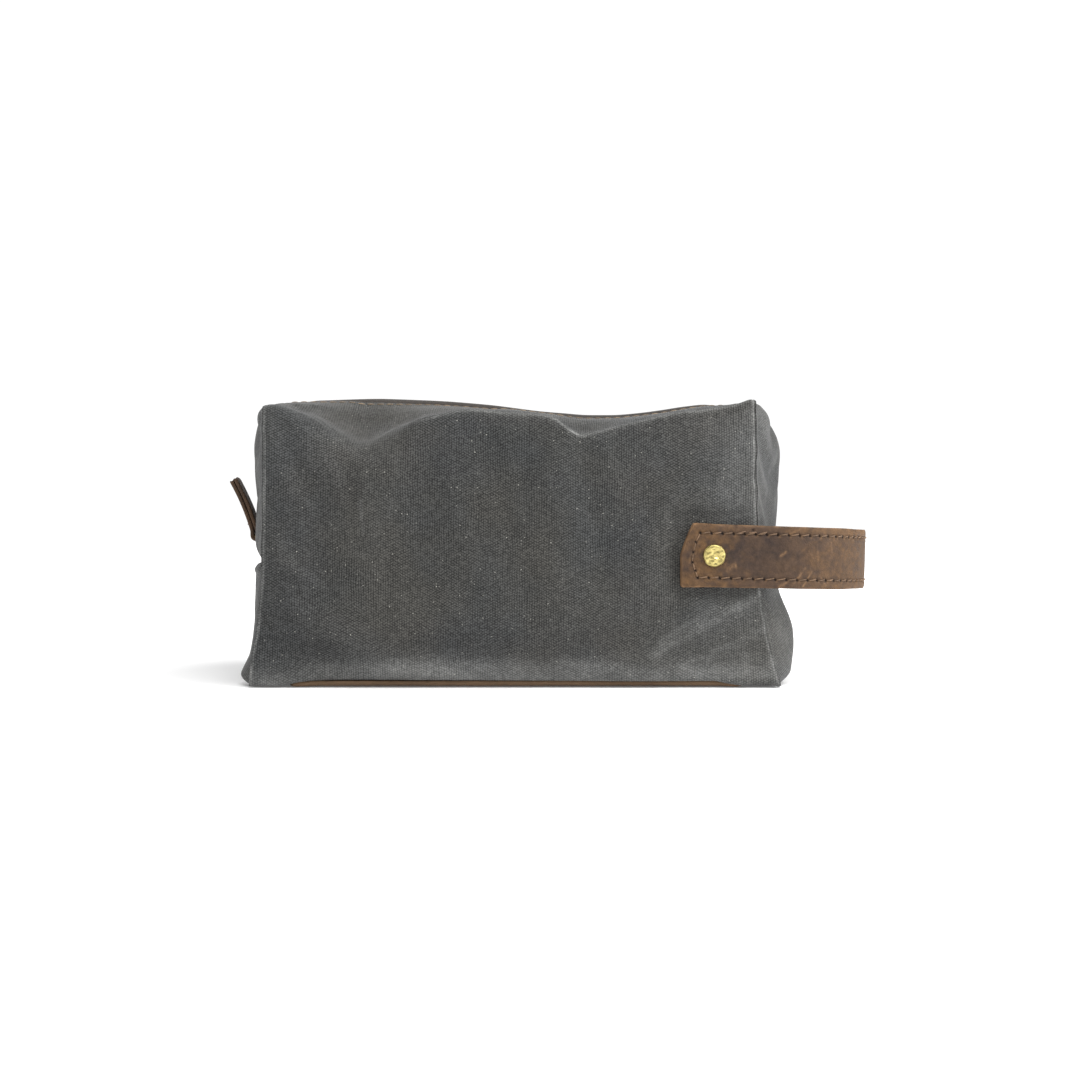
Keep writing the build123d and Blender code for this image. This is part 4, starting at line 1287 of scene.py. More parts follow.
def zipper_tape(face):
    distance = np.linspace(0.3, LINE_END - 0.3, 420)
    line_x, line_z, _, _, out_x, out_z = (v[:, None] for v in zipper_at(distance))
    y = np.linspace(3.0, 11.4, 14)[None, :]
    on_top = smoothstep(-104, -92, line_x) * (1 - smoothstep(86, 98, line_x)) * (line_z > TOP_Z)
    # a raised bead beside the teeth, then low under the canvas
    bead = np.interp(y, [3.0, 3.5, 4.4, 5.2, 6.0, 7.0], [0.10, 0.6, 1.0, 0.93, 0.55, 0.0])
    low = (lip_offset(line_x, line_z) - 1.75
           - (0.10 + 0.62 * on_top) * np.clip(y - 8.0, 0, 6))
    under = smoothstep(5.6, 7.4, y)
    height = (0.25 + 1.10 * on_top) * bead * (1 - under) + low * under
    points = np.stack([line_x + out_x * height, FACING[face] * y + 0 * height,
                       line_z + out_z * height], -1)
    cloth_map = np.stack(np.broadcast_arrays(distance[:, None], y), -1)
    piece = sheet(f"zipper_tape_{face}", points, 0.5, TAPE, cloth_map, flip=face == "back")
    turn = mouth(points[..., 0]) * (points[..., 2] > TOP_Z)
    register(piece, "zipper_tape", f"zipper_tape_{face}_top", "zipper_tape_left_end",
             "zipper_tape_right_end", rides=f"{face}_flap", turn=np.tile(turn.ravel(), 2))


def tooth_points():
    """Rings of one tooth: columns along the zipper, out towards its middle, up."""
    points = []
    for out, wide, high in TOOTH_PROFILE:
        flat, tall = wide - TOOTH_CORNER * 0.8, high - TOOTH_CORNER
        ring = [(-wide, -tall), (-flat, -high), (flat, -high), (wide, -tall),
                (wide, tall), (flat, high), (-flat, high), (-wide, tall)]
        points += [(along, out, up) for along, up in ring]
    return np.array(points)


def zipper_teeth(face):
    front = face == "front"
    along, out, up = tooth_points().T
    faces = loft_faces(len(TOOTH_PROFILE), 8)
    if front:
        faces = [f[::-1] for f in faces]
    teeth, turn = Parts(), []
    rng = np.random.default_rng(5 + front)
    for i in range(int((LINE_END - 2 * TEETH_INSET) / TOOTH_PITCH)):
        distance = TEETH_INSET + (i + (0.25 if front else 0.75)) * TOOTH_PITCH
        x, z, dx, dz, out_x, out_z = zipper_at(distance)
        points = np.stack([x + dx * along + out_x * up, -FACING[face] * out,
                           z + dz * along + out_z * up], -1)
        teeth.add(points, faces, float(rng.uniform(0, 1)))
        turn.append(np.full(len(points), float(mouth(x)) if z > TOP_Z else 0.0))
    register(teeth.build(f"zipper_teeth_{face}", ANTIQUE), "zipper_metal",
             f"zipper_teeth_{face}_top", "zipper_teeth_left_end", "zipper_teeth_right_end",
             rides=f"{face}_flap", turn=np.concatenate(turn))


def inset_line(strips, insets):
    """The point of each strip that lies its inset short of the far end."""
    return np.array([walk(strip, run_length(strip)[-1] - inset)
                     for strip, inset in zip(strips, insets)])


def hem_stitches(face, part, line, seed):
    """A row of stitches lying on the canvas along one stretch of the hem."""
    on_top = part == "top"
    y_sign = FACING[face]
    stitches, turn = Parts(), []
    rng = np.random.default_rng(seed)
    t = np.linspace(0, 1, 7)
    for i in range(int((run_length(line)[-1] - 2) / HEM_PITCH)):
        path = walk(line, 1.2 + (i + 0.10 + 0.80 * t) * HEM_PITCH)
        middle = path[3]
        if on_top:
            out = np.array([0, 0.12 * y_sign, 1.0])
        else:
            nearest = np.argmin((LINE_X - middle[0]) ** 2 + (LINE_Z - middle[2]) ** 2)
            out_x, out_z = zipper_at(LINE_RUN[nearest])[4:]
            out = np.array([out_x, 0, out_z])
        path = path + out * (0.26 * np.sin(PI * t)[:, None] ** 0.5 - 0.16)
        path[:, 1] -= (t - 0.5) * 0.45 * y_sign
        points, faces = tube(path, [0.16, 0.26, 0.30, 0.31, 0.30, 0.26, 0.16], 6, up=out)
        stitches.add(points, faces, float(rng.uniform(0.1, 1)))
        turn.append(np.full(len(points), float(mouth(middle[0]))))
    piece = stitches.build(f"zipper_topstitch_{face}_{part}", ZIPPER_THREAD)
    if on_top:
        register(piece, "thread", f"zipper_stitching_{face}", rides=f"{face}_flap",
                 turn=np.concatenate(turn))
    else:
        register(piece, "thread", "zipper_stitching_ends")


def all_hem_stitches():
    for face in ("front", "back"):
        tops = PANELS[face][0][:, TOP_START:HEM_START]
        insets = 0.8 + 2.4 * smoothstep(76, 98, np.abs(tops[:, -1, 0]))
        hem_stitches(face, "top", inset_line(tops, insets), seed=20)
        for side, seed in (("left", 21), ("right", 22)):
            strips = ENDS[side, face][:, :50]
            hem_stitches(face, side, inset_line(strips, [3.2] * len(strips)), seed)


for build in (zipper_tape, zipper_teeth):
    for face in ("front", "back"):
        build(face)
all_hem_stitches()

# ---------------------------------------------------------------------------------------------
# Slider, ring and leather pull, in a frame that leans with the left end of the zipper:
# x inwards, y back, z up along the zipper
# ---------------------------------------------------------------------------------------------
LEAN = math.atan2(LEFT_FOOT[0] - LEFT_HEAD[0], LEFT_HEAD[1] - LEFT_FOOT[1])
SLIDER_AXES = np.array([[math.cos(LEAN), 0, math.sin(LEAN)],
                        [0, 1.0, 0],
                        [-math.sin(LEAN), 0, math.cos(LEAN)]])
SLIDER_ORIGIN = np.array([LEFT_FOOT[0], 0, LEFT_FOOT[1]])
SLIDER_BOTTOM, SLIDER_TOP = 3.3, 14.1
PLATE_INSIDE, PLATE_OUTSIDE = 1.75, 2.75
FLANGE_GAP = 0.62
BRIDGE_Z = 8.7
BRIDGE_HALF_WIDTH, BRIDGE_HALF_THICK = 1.15, 0.38
RING_ANGLE, PULL_ANGLE = math.radians(22.8), math.radians(15.2)
RING_HALF_WIDTH, RING_LENGTH, RING_CORNER, RING_WIRE = 5.2, 7.0, 1.6, 0.62
RING_PIVOT = np.array([-3.7, 0.0, BRIDGE_Z])
RING_DIRECTION = np.array([-math.sin(RING_ANGLE), 0, math.cos(RING_ANGLE)])
PULL_PIVOT = RING_PIVOT + RING_LENGTH * RING_DIRECTION
PULL_LAYER, PULL_GAP, PULL_HALF_WIDTH, PULL_LENGTH = 1.75, 0.12, 4.25, 29.0
PULL_LOOP, PULL_FLARE = 0.78, 3.2       # inside radius round the ring; where the layers part
PULL_CURVE, PULL_STITCH_Z = 0.9, 6.5


def to_bag(points):
    return SLIDER_ORIGIN + np.asarray(points, float) @ SLIDER_AXES


def plate(outline, start_x, end_x):
    """A plate with a (y, z) outline, in the bag's frame."""
    count = len(outline)
    points = [(x, y, z) for x in (start_x, end_x) for y, z in outline]
    faces = [tuple(range(count)), tuple(range(2 * count - 1, count - 1, -1))]
    for i in range(count):
        j = (i + 1) % count
        faces.append((i, count + i, count + j, j))
    return to_bag(points), faces


def slider_body():
    bottom, top = SLIDER_BOTTOM, SLIDER_TOP
    half = [(0.0, bottom), (2.2, bottom), (3.4, bottom + 0.5), (4.1, bottom + 1.7),
            (4.2, bottom + 3.4), (3.5, bottom + 6.2), (3.3, top - 1.0), (2.7, top - 0.2),
            (0.0, top)]
    outline = half + [(-y, z) for y, z in half[-2:0:-1]]
    post = [(-0.35, bottom + 0.4), (0.35, bottom + 0.4), (0.35, bottom + 3.2),
            (-0.35, bottom + 3.2)]
    parts = Parts()
    parts.add(*plate(outline, -PLATE_OUTSIDE, -PLATE_INSIDE))
    parts.add(*plate(outline, PLATE_INSIDE, PLATE_OUTSIDE))
    parts.add(*plate(post, -PLATE_INSIDE, PLATE_INSIDE))
    for sign in (-1, 1):
        flange = [(sign * 3.35, bottom + 5.5), (sign * 3.95, bottom + 4.4),
                  (sign * 3.6, top - 1.2), (sign * 3.3, top - 1.2)]
        parts.add(*plate(flange, -PLATE_INSIDE, -FLANGE_GAP))
        parts.add(*plate(flange, FLANGE_GAP, PLATE_INSIDE))
    piece = parts.build("zipper_slider_body", ANTIQUE)
    bevel(piece, 0.28)
    fix_normals(piece)
    register(piece, "zipper_metal", "zipper_slider", rides="slider")


def slider_bridge():
    """A bent strip over the slider's outer plate."""
    angle = PI * np.linspace(0, 1, 25)
    path = np.stack([-2.7 - 2.45 * np.sin(angle) ** 0.55,
                     BRIDGE_Z - 3.2 * np.cos(angle) * (1 - 0.12 * np.sin(angle))], -1)
    along = unit(np.gradient(path, axis=0))
    points = []
    for (x, z), (dx, dz) in zip(path, along):
        for y_sign, out_sign in ((-1, 1), (1, 1), (1, -1), (-1, -1)):
            out = out_sign * BRIDGE_HALF_THICK
            points.append((x - dz * out, y_sign * BRIDGE_HALF_WIDTH, z + dx * out))
    parts = Parts()
    parts.add(to_bag(points), loft_faces(len(path), 4))
    piece = parts.build("zipper_slider_bridge", ANTIQUE)
    fix_normals(piece)
    bevel(piece, 0.2)
    register(piece, "zipper_metal", rides="slider")


def pull_ring():
    """Rectangular wire ring with rounded corners."""
    wide, tall, corner = RING_HALF_WIDTH - RING_CORNER, RING_LENGTH - RING_CORNER, RING_CORNER
    path = []
    # centre of each corner (y, distance up the ring), and the angle its arc starts at
    for y, up, start in ((-wide, corner, PI), (wide, corner, 1.5 * PI),
                         (wide, tall, 0.0), (-wide, tall, 0.5 * PI)):
        for angle in np.linspace(start, start + PI / 2, 7):
            path.append(RING_PIVOT + (up + corner * math.sin(angle)) * RING_DIRECTION
                        + np.array([0, y + corner * math.cos(angle), 0]))
    across = np.cross(RING_DIRECTION, [0, 1, 0]) @ SLIDER_AXES
    parts = Parts()
    parts.add(*tube(to_bag(path), RING_WIRE, 12, closed=True, up=across))
    piece = parts.build("slider_pull_ring_wire", ANTIQUE)
    fix_normals(piece)
    register(piece, "zipper_metal", "slider_pull_ring", rides="pull_ring")


def from_pull(x, y, z):
    """From the pull's own frame, z along it from the ring, to the bag's."""
    cos, sin = math.cos(PULL_ANGLE), math.sin(PULL_ANGLE)
    return to_bag(PULL_PIVOT + np.stack([cos * x - sin * z, y, sin * x + cos * z], -1))


def pull_profile():
    """Centre line (x, z) of the strip: down one layer, round the ring and up the other."""
    side = PULL_GAP + PULL_LAYER / 2
    radius = PULL_LOOP + PULL_LAYER / 2
    flare = [(side + (radius - side) * t * t * (3 - 2 * t), PULL_FLARE * (1 - t))
             for t in np.linspace(0, 1, 12)[1:]]
    profile = [(side, z) for z in np.linspace(PULL_LENGTH, PULL_FLARE, 36)] + flare
    profile += [(radius * math.cos(angle), radius * math.sin(angle))
                for angle in np.linspace(0, -PI, 16)[1:-1]]
    profile += [(-x, z) for x, z in flare[::-1]]
    profile += [(-side, z) for z in np.linspace(PULL_FLARE, PULL_LENGTH - 0.4, 36)]
    profile = np.array(profile)
    profile[:, 0] += PULL_CURVE * np.sin(PI * np.clip(profile[:, 1] / PULL_LENGTH, 0, 1))
    return profile


def pull():
    """A strip of leather folded round the ring, two layers side by side."""
    profile = pull_profile()
    along = unit(np.gradient(profile, axis=0))
    width, half = PULL_HALF_WIDTH, PULL_LAYER / 2
    flat = [y * (width - 0.35) for y in np.linspace(-1, 1, 9)]
    # rounded rectangle across the strip: y, distance out from the centre line
    section = ([(y, half) for y in flat]
               + [(width - 0.08, half - 0.25), (width, 0), (width - 0.08, -half + 0.25)]
               + [(y, -half) for y in flat[::-1]]
               + [(-width + 0.08, -half + 0.25), (-width, 0), (-width + 0.08, half - 0.25)])
    points, wear, tone = [], [], []
    count = len(profile)
    for i in range(count):
        from_end = min(i, count - 1 - i)
        thinning = [0.86, 0.95, 1.0][min(from_end, 2)]
        for y, out in section:
            tip = (abs(y) / width) ** 4 * 1.1 if from_end == 0 else 0.0
            x = profile[i, 0] + along[i, 1] * out * thinning
            z = profile[i, 1] - along[i, 0] * out * thinning - tip
            points.append(from_pull(x, y * (1 + 0.02 * math.sin(i * 0.31)), z))
            wear.append(0.55 if abs(y) > width - 0.3 else 0.5 if from_end < 2 else 0.0)
            tone.append(0.3 + 0.3 * math.sin(i * 0.23 + y))
    piece = make_object("leather_zipper_pull", points, loft_faces(count, len(section)),
                        PULL_LEATHER, {"wear": wear, "tone": np.clip(tone, 0, 1),
                                       "hole": np.zeros(len(points))})
    fix_normals(piece)
    register(piece, "dark_leather", "leather_pull", rides="pull")


def pull_stitches():
    """Three stitches across each face of the pull."""
    stitches = Parts()
    t = np.linspace(0, 1, 7)
    bow = PULL_CURVE * math.sin(PI * PULL_STITCH_Z / PULL_LENGTH)
    for y in (-2.2, 0.0, 2.2):
        for sign in (-1, 1):
            x = sign * (PULL_GAP + PULL_LAYER + 0.10) + bow + sign * 0.22 * np.sin(PI * t)
            path = from_pull(x, y - 0.9 + 1.8 * t, PULL_STITCH_Z + 0.3 * (t - 0.5))
            radii = [0.2, 0.3, 0.33, 0.33, 0.33, 0.3, 0.2]
            stitches.add(*tube(path, radii, 8, up=SLIDER_AXES[0]), shade=0.6)
    register(stitches.build("leather_pull_stitches", THREAD), "thread", "leather_pull_thread",
             rides="pull")


slider_body()
slider_bridge()
pull_ring()
pull()
pull_stitches()

# ---------------------------------------------------------------------------------------------
# Carry loop: two straps in a U, from the front rivet round the right end to the back rivet
# ---------------------------------------------------------------------------------------------
RIVET_X, RIVET_Z = 84.4, 56.6
TILT = math.radians(1.5)                # the loop dips to the right
STRAP_WIDTH, STRAP_THICKNESS = 26.0, 1.6
STRAP_HALF = STRAP_WIDTH / 2
BEND_X, BEND_REACH = 113.0, 48.1        # where the turn starts, and how far it stands out
INNER_Y = 56.0 + 0.05                   # inside face of the inner strap
OUTER_Y = INNER_Y + STRAP_THICKNESS + 0.1
OUTSIDE_Y = OUTER_Y + STRAP_THICKNESS
STRAP_ENDS = 27.6                       # length past both rivets, for spacing the columns
# the cut end: place of the edge from the rivet, by height across the strap
CUT = curve([-13.4, -12.9, -12.2, -11.0, 0.0, 1.4, 12.0, 12.8, 13.4],
            [-12.6, -13.3, -13.6, -13.65, -13.95, -13.6, -9.5, -9.0, -8.1])
# stitch holes of the front half: distance from the rivet, height
STITCH_PITCH = 4.75
STITCH_ROW = STRAP_HALF - 3.5
TOP_HOLES = [(-6.2 + STITCH_PITCH * i, STITCH_ROW) for i in range(40)]
BOTTOM_HOLES = [(-6.9 + STITCH_PITCH * i, -STITCH_ROW) for i in range(40)]
END_HOLES = [(-8.0, 5.6), (-9.0, 1.3), (-9.3, -3.0), (-7.9, -6.6)]
# extra holes above the front's upper row: distance, height, radius
STRAY_HOLES = ((16.2, 12.0 - 0.6, 0.62), (26.6, 9.9, 0.70), (11.8, 9.55, 0.30),
               (14.1, 9.6, 0.30), (18.8, 9.3, 0.30), (23.5, 9.5, 0.26))
# doubled stitches: places along the upper row, joined in turn
DOUBLED = (((9.2, 9.9), (13.8, 10.3)), ((13.8, 10.3), (18.3, 9.9)), ((18.3, 9.9), (22.8, 10.1)))
# scratches: start and end (distance from the front rivet, height), width, strength
SCRATCHES = (
    ((28.2, 0.6), (30.4, 2.4), 0.55, 0.95), ((39.0, -4.2), (34.2, -10.8), 0.50, 0.85),
    ((42.0, -5.8), (38.2, -12.0), 0.36, 0.95), ((30.8, 9.6), (36.5, 12.3), 0.45, 0.7),
    ((40.5, 3.0), (43.5, -1.0), 0.5, 0.35), ((44.5, 6.0), (45.2, -4.0), 0.4, 0.35),
    ((52, 7), (52.6, 2.5), 0.45, 0.4), ((5.8, -6.4), (8.4, -3.4), 0.9, 0.5),
    ((-3.2, -7.5), (0.5, -9.5), 0.7, 0.4), ((-7.6, 8.6), (-10.5, -3.0), 0.5, 0.4),
    ((46.0, -7.5), (49.5, -11.5), 0.5, 0.4), ((31.0, -10.6), (28.0, -12.6), 0.6, 0.6),
    ((36.0, 1.5), (39.0, 4.5), 0.3, 0.3), ((9.0, -3.0), (9.4, -5.0), 0.5, 0.5),
    ((90, 4), (96, -7), 0.6, 0.6), ((120, 6), (112, -6), 0.6, 0.5))


class LoopPath:
    """Plan of a strap surface: straight along the front, half an ellipse, straight back."""

    def __init__(self, half_width):
        reach = BEND_REACH - (OUTSIDE_Y - half_width)
        angle = np.linspace(-PI / 2, PI / 2, 900)
        straight = np.linspace(0, BEND_X - RIVET_X, 60)[:-1]
        ends = np.full(len(straight), half_width)
        self.x = np.concatenate([RIVET_X + straight, BEND_X + reach * np.cos(angle),
                                 RIVET_X + straight[::-1]])
        self.y = np.concatenate([-ends, half_width * np.sin(angle), ends])
        self.run = run_length(np.stack([self.x, self.y], -1))
        self.length = self.run[-1]

    def at(self, distance):
        """x and y, running on straight past both rivets."""
        x = np.interp(distance, self.run, self.x)
        x = np.where(distance < 0, RIVET_X + distance, x)
        x = np.where(distance > self.length, RIVET_X - (distance - self.length), x)
        return x, np.interp(distance, self.run, self.y)

    def normal(self, distance):
        x0, y0 = self.at(distance - 0.05)
        x1, y1 = self.at(distance + 0.05)
        dx, dy = x1 - x0, y1 - y0
        length = np.hypot(dx, dy)
        return dy / length, -dx / length

    def place(self, distance, out, height):
        """Points in the bag's frame, tilted about the rivets."""
        x, y = self.at(distance)
        out_x, out_y = self.normal(distance)
        x = x + out_x * out - RIVET_X
        cos, sin = math.cos(TILT), math.sin(TILT)
        return np.stack([RIVET_X + x * cos + height * sin, y + out_y * out,
                         RIVET_Z - x * sin + height * cos], -1)


def strap_grid(path, outer):
    """Distance from the front rivet and height across the strap, for every point."""
    half = np.concatenate([np.arange(0, 8, 0.62), np.arange(8, 11, 0.25),
                           [11.3, 11.7, 12.1, 12.4, 12.65, 12.85, 13.0]])
    level = np.concatenate([-half[:0:-1], half])
    total = path.length + STRAP_ENDS
    part = np.concatenate([np.arange(0, 78, 0.31), np.arange(78, total / 2, 0.5)])
    share = (np.concatenate([part, total - part[::-1]]) / total)[:, None]
    start = CUT(level) - (0 if outer else 0.25)
    distance = start + share * (path.length - 2 * start)
    edge = distance[:, :1]
    from_rivet = np.minimum(edge, path.length - edge)
    half_width = (STRAP_HALF + 0.15 + 0.5 * np.exp(-np.clip(from_rivet + 12, 0, 99) / 16)
                  + 0.18 * fractal(edge / 11, 0 * edge, 3, 81 if outer else 85))
    return distance, level / STRAP_HALF * half_width


def all_strap_holes(path):
    """Stitch holes of both halves, measured along the strap's middle."""
    outside = LoopPath(OUTSIDE_Y)
    ratio = outside.length / path.length
    half = [(distance / ratio, height) for distance, height in TOP_HOLES + BOTTOM_HOLES
            if distance < outside.length / 2] + END_HOLES
    return [hole for distance, height in half
            for hole in ((distance, height), (path.length - distance, height))]


def strap(which):
    outer = which == "outer"
    inside_y = OUTER_Y if outer else INNER_Y
    path = LoopPath(inside_y + STRAP_THICKNESS / 2)
    length = path.length
    along, height = strap_grid(path, outer)
    hole, rubbed = np.zeros(along.shape), np.zeros(along.shape)
    relief = (0.10 * fractal(along / 9, height / 7, 3, 91)
              + 0.06 * fractal(along / 2.6, height / 2.6, 2, 95))
    from_side = STRAP_HALF - np.abs(height)
    cut = CUT(np.clip(height, -13.2, 13.2))
    from_end = np.maximum(np.minimum(along - cut, length - cut - along), 0)
    if outer:
        # slanting oval holes, dented and painted dark as shade, each with a rubbed spot beside it
        for hole_along, hole_height in all_strap_holes(path):
            dx, dz = along - hole_along, height - hole_height
            dent = np.exp(-((dx * 0.8 + dz * 0.6) ** 2 / 0.46 ** 2
                            + (dx * 0.6 - dz * 0.8) ** 2 / 0.72 ** 2))
            hole = np.maximum(hole, 1.6 * dent)
            relief = relief - 0.60 * dent
            spot = np.exp(-((dx - 0.7) ** 2 + (dz + 0.55) ** 2) / 0.62 ** 2)
            rubbed = np.maximum(rubbed, 0.55 * spot)
        for hole_along, hole_height, radius in STRAY_HOLES:
            dent = np.exp(-((along - hole_along) ** 2 + (height - hole_height) ** 2)
                          / radius ** 2)
            hole = np.maximum(hole, dent)
            relief = relief - 0.5 * dent
        # the leather sinks along the stitch rows and round the rivets
        relief = relief - (0.16 * bell(np.abs(height), STITCH_ROW, 0.75)
                           * smoothstep(-8.5, -6.5, along)
                           * smoothstep(-8.5, -6.5, length - along))
        for rivet_along in (0.0, length):
            relief = relief - 0.22 * bell(np.hypot(along - rivet_along, height), 4.6, 1.3)
    rounding = np.clip(np.exp(-from_side / 0.45) + np.exp(-from_end / 0.5), 0, 1)
    half = STRAP_THICKNESS / 2
    inside = -half + 0.24 * rounding
    if outer:
        outside = half - 0.34 * rounding + relief
    else:
        outside = half - 0.30 * rounding - 0.02
        inside = inside + np.maximum(-relief, 0) * 0.4

    # rubbed edges, cloudy tone, darker a little way from each rivet, and painted light that pales
    # the strap towards the turn, where it curves round to the side light
    nearer = np.minimum(along, length - along)
    wear = ((0.45 * np.exp(-from_side / 0.6) + 0.55 * np.exp(-from_end / 0.6))
            * (0.8 + 0.6 * value_noise(along / 2.2, height / 2.2, 77))
            + 0.10 * bell(from_side, 1.8, 0.9))
    tone = (0.10 + 0.36 * smoothstep(22, 66, nearer) - 0.35 * bell(nearer, 26, 13)
            + 0.46 * bell(nearer, -6, 8) + 0.34 * fractal(along / 9, height / 6, 4, 101))
    tone = tone + ((0.42 + 0.35 * bell(nearer, 0, 10))
                   * fractal(along / 2.4, height / 2.0, 3, 119))
    tone = (tone + 0.35 * bell(height, 11.6, 1.6) * smoothstep(16, 30, nearer)
            + 0.22 * bell(height, -11.5, 1.5))
    if outer:
        wear = wear + (creases(along, height, SCRATCHES)
                       * (0.7 + 0.5 * value_noise(along * 1.3, height * 1.3, 7)))
    piece = leather_slab(f"carry_loop_{which}_strap", path.place(along, outside, height),
                         path.place(along, inside, height), False, [0, 1, 2, 3], STRAP,
                         wear=np.maximum(wear, rubbed), tone=tone, hole=hole)
    register(piece, "leather", f"handle_{which}_strap", rides="handle")


def strap_stitches():
    path = LoopPath(OUTSIDE_Y)
    stitches = Parts()
    rng = np.random.default_rng(12)
    t = np.linspace(0, 1, 8)
    rise = -0.30 + 0.50 * np.sin(PI * t) ** 0.55
    radii = [0.14, 0.21, 0.24, 0.25, 0.25, 0.24, 0.21, 0.14]

    def stitch(start, end, mirror):
        step, climb = end[0] - start[0], end[1] - start[1]
        along = start[0] + step * (0.13 + 0.75 * t)
        height = start[1] + climb * (0.13 + 0.75 * t)
        if abs(step) > abs(climb):
            # leaves its hole low and lands high in the next, so it lies askew
            height = height + 0.22 + 0.62 * (t - 0.5)
        along = path.length - along if mirror else along
        points, faces = tube(path.place(along, rise, height), radii, 7)
        stitches.add(points, faces, float(rng.uniform(0.1, 1.0)))

    chain = [TOP_HOLES[0], *END_HOLES, BOTTOM_HOLES[0]]
    for mirror in (False, True):
        for row in (TOP_HOLES, BOTTOM_HOLES):
            for start, end in zip(row, row[1:]):
                if end[0] < path.length / 2 + 1.0:
                    stitch(start, end, mirror)
        for start, end in (*zip(chain, chain[1:]), *DOUBLED):
            stitch(start, end, mirror)
    piece = stitches.build("carry_loop_stitches", THREAD)
    fix_normals(piece)
    register(piece, "thread", "handle_stitching", rides="handle")


strap("outer")
strap("inner")
strap_stitches()

CAP_RADIUS, SHANK_RADIUS, SHANK_END = 4.74, 1.58, 53.8


def rivet(face):
    """Hammered cap: a low dome beaten into facets, on its shank."""
    y_sign = FACING[face]
    base_y = OUTSIDE_Y + 0.02
    seed = 200 if face == "front" else 230
    count = 61
    steps = np.linspace(-1, 1, count)
    square_x, square_z = np.meshgrid(steps, steps, indexing="ij")
    # the square grid is pressed into a slightly uneven disc
    x = square_x * np.sqrt(1 - square_z * square_z / 2)
    z = square_z * np.sqrt(1 - square_x * square_x / 2)
    angle = np.arctan2(z, x)
    radius = np.clip(np.hypot(x, z), 0, 1)
    size = CAP_RADIUS * (1 + 0.012 * np.sin(3 * angle + 1) + 0.008 * np.sin(7 * angle))
    x, z = x * size, z * size

    rng = np.random.default_rng(seed)
    height = 1.0 - 0.14 * radius ** 2
    centres = rng.uniform(-4.8, 4.8, (44, 2))
    slopes = rng.uniform(-0.34, 0.34, (44, 2))
    weights, facets = 1e-9, 0
    for (cx, cz), (slope_x, slope_z) in zip(centres, slopes):
        weight = np.exp(-((x - cx) ** 2 + (z - cz) ** 2) / 0.42)
        weights = weights + weight
        facets = facets + weight * (slope_x * (x - cx) + slope_z * (z - cz))
    height = height + np.clip(facets / weights, -0.3, 0.3) * (1 - radius ** 4)
    for turn in rng.uniform(0, 2 * PI, 22):
        cx = rng.uniform(0, 4.3) * math.cos(turn)
        cz = rng.uniform(0, 4.3) * math.sin(turn)
        width = rng.uniform(0.5, 1.2)
        depth = rng.uniform(0.08, 0.22)
        dent = np.exp(-((x - cx) ** 2 + (z - cz) ** 2) / width ** 2)
        height = height - depth * dent * (1 - 0.6 * radius)
    height = height + 0.07 * fractal(x / 0.8, z / 0.8, 3, seed)
    height = height - 0.55 * smoothstep(0.87, 1.0, radius) ** 1.5

    points = [np.stack([RIVET_X + x, y_sign * (base_y + height), RIVET_Z + z], -1).reshape(-1, 3)]
    border = grid_border(count, count)
    rim_x, rim_z = x.ravel()[border], z.ravel()[border]
    to_shank = SHANK_RADIUS / np.hypot(rim_x, rim_z)
    loops = [border]
    # under the rim, in to the shank, and along it to its end
    for scale, y in ((0.985, base_y + 0.02), (to_shank, base_y + 0.02), (to_shank, SHANK_END)):
        loops.append(count * count + (len(loops) - 1) * len(border) + np.arange(len(border)))
        points.append(np.stack([RIVET_X + rim_x * scale, np.full(len(border), y_sign * y),
                                RIVET_Z + rim_z * scale], -1))
    faces = list(grid_faces(count, count))
    for near, far in zip(loops, loops[1:]):
        faces += list(np.stack([near, far, np.roll(far, -1), np.roll(near, -1)], -1))
    faces.append(loops[-1])
    piece = make_object(f"{face}_rivet_cap", np.concatenate(points), faces, BRASS, {})
    fix_normals(piece)
    register(piece, "brass", f"{face}_rivet")


rivet("front")
rivet("back")

# ---------------------------------------------------------------------------------------------
# Lining
# ---------------------------------------------------------------------------------------------
LINING_THICKNESS = 0.35


def lining_sheet(name, points, flip):
    return sheet(name, points, LINING_THICKNESS, LINING, flip=flip,
                 bloom=np.zeros(points.shape[:2]))


def lining_side(face):
    """Lining that follows a side panel a little way inside it."""
    panel, turn = PANELS[face]
    front = face == "front"
    pick = np.ix_(np.arange(4, PANEL_COLUMNS - 4, 3), np.arange(WALL_START, HEM_START, 3))
    points = panel[pick]
    normals = grid_normals(panel)[pick] * (1 if front else -1)
    wrinkles = 0.8 * fractal(points[..., 0] / 14, points[..., 2] / 14, 3, 140 + front)
    points = points - normals * (2.9 + wrinkles)[..., None]
    points[..., 2] = np.maximum(points[..., 2], 4.6)
    piece = lining_sheet(f"lining_{face}", points, flip=not front)
    register(piece, "lining", f"lining_top_{face}", "lining_tub", rides=f"{face}_flap",
             turn=np.tile(turn[pick].ravel(), 2))


def lining_floor():
    x, y = np.meshgrid(np.linspace(-1, 1, 80), np.linspace(-1, 1, 42), indexing="ij")
    points = np.stack([107.0 * x, 52.0 * y, 4.3 + 0.5 * fractal(x * 6, y * 4, 3, 151)], -1)
    register(lining_sheet("lining_floor", points, flip=True), "lining")


def lining_end(side):
    x_sign = OUTWARD[side]
    z, across = np.meshgrid(np.linspace(4.5, 113.0, 44), np.linspace(-1, 1, 46), indexing="ij")
    corner = np.abs(seam_x(side, z)) - 2.4
    middle = curve([0, 20, 50, 80, 104, 113], [110.5, 114.5, 111.0, 114.0, 114.5, 111.0])(z)
    weight = np.abs(across) ** 2.4
    x = (corner * weight + middle * (1 - weight)
         + 0.9 * fractal(z / 14, across * 3, 3, 160 + x_sign))
    points = np.stack([x_sign * x, 51.6 * across, z], -1)
    register(lining_sheet(f"lining_{side}_end", points, flip=side == "right"), "lining")


lining_side("front")
lining_side("back")
lining_floor()
lining_end("left")
lining_end("right")

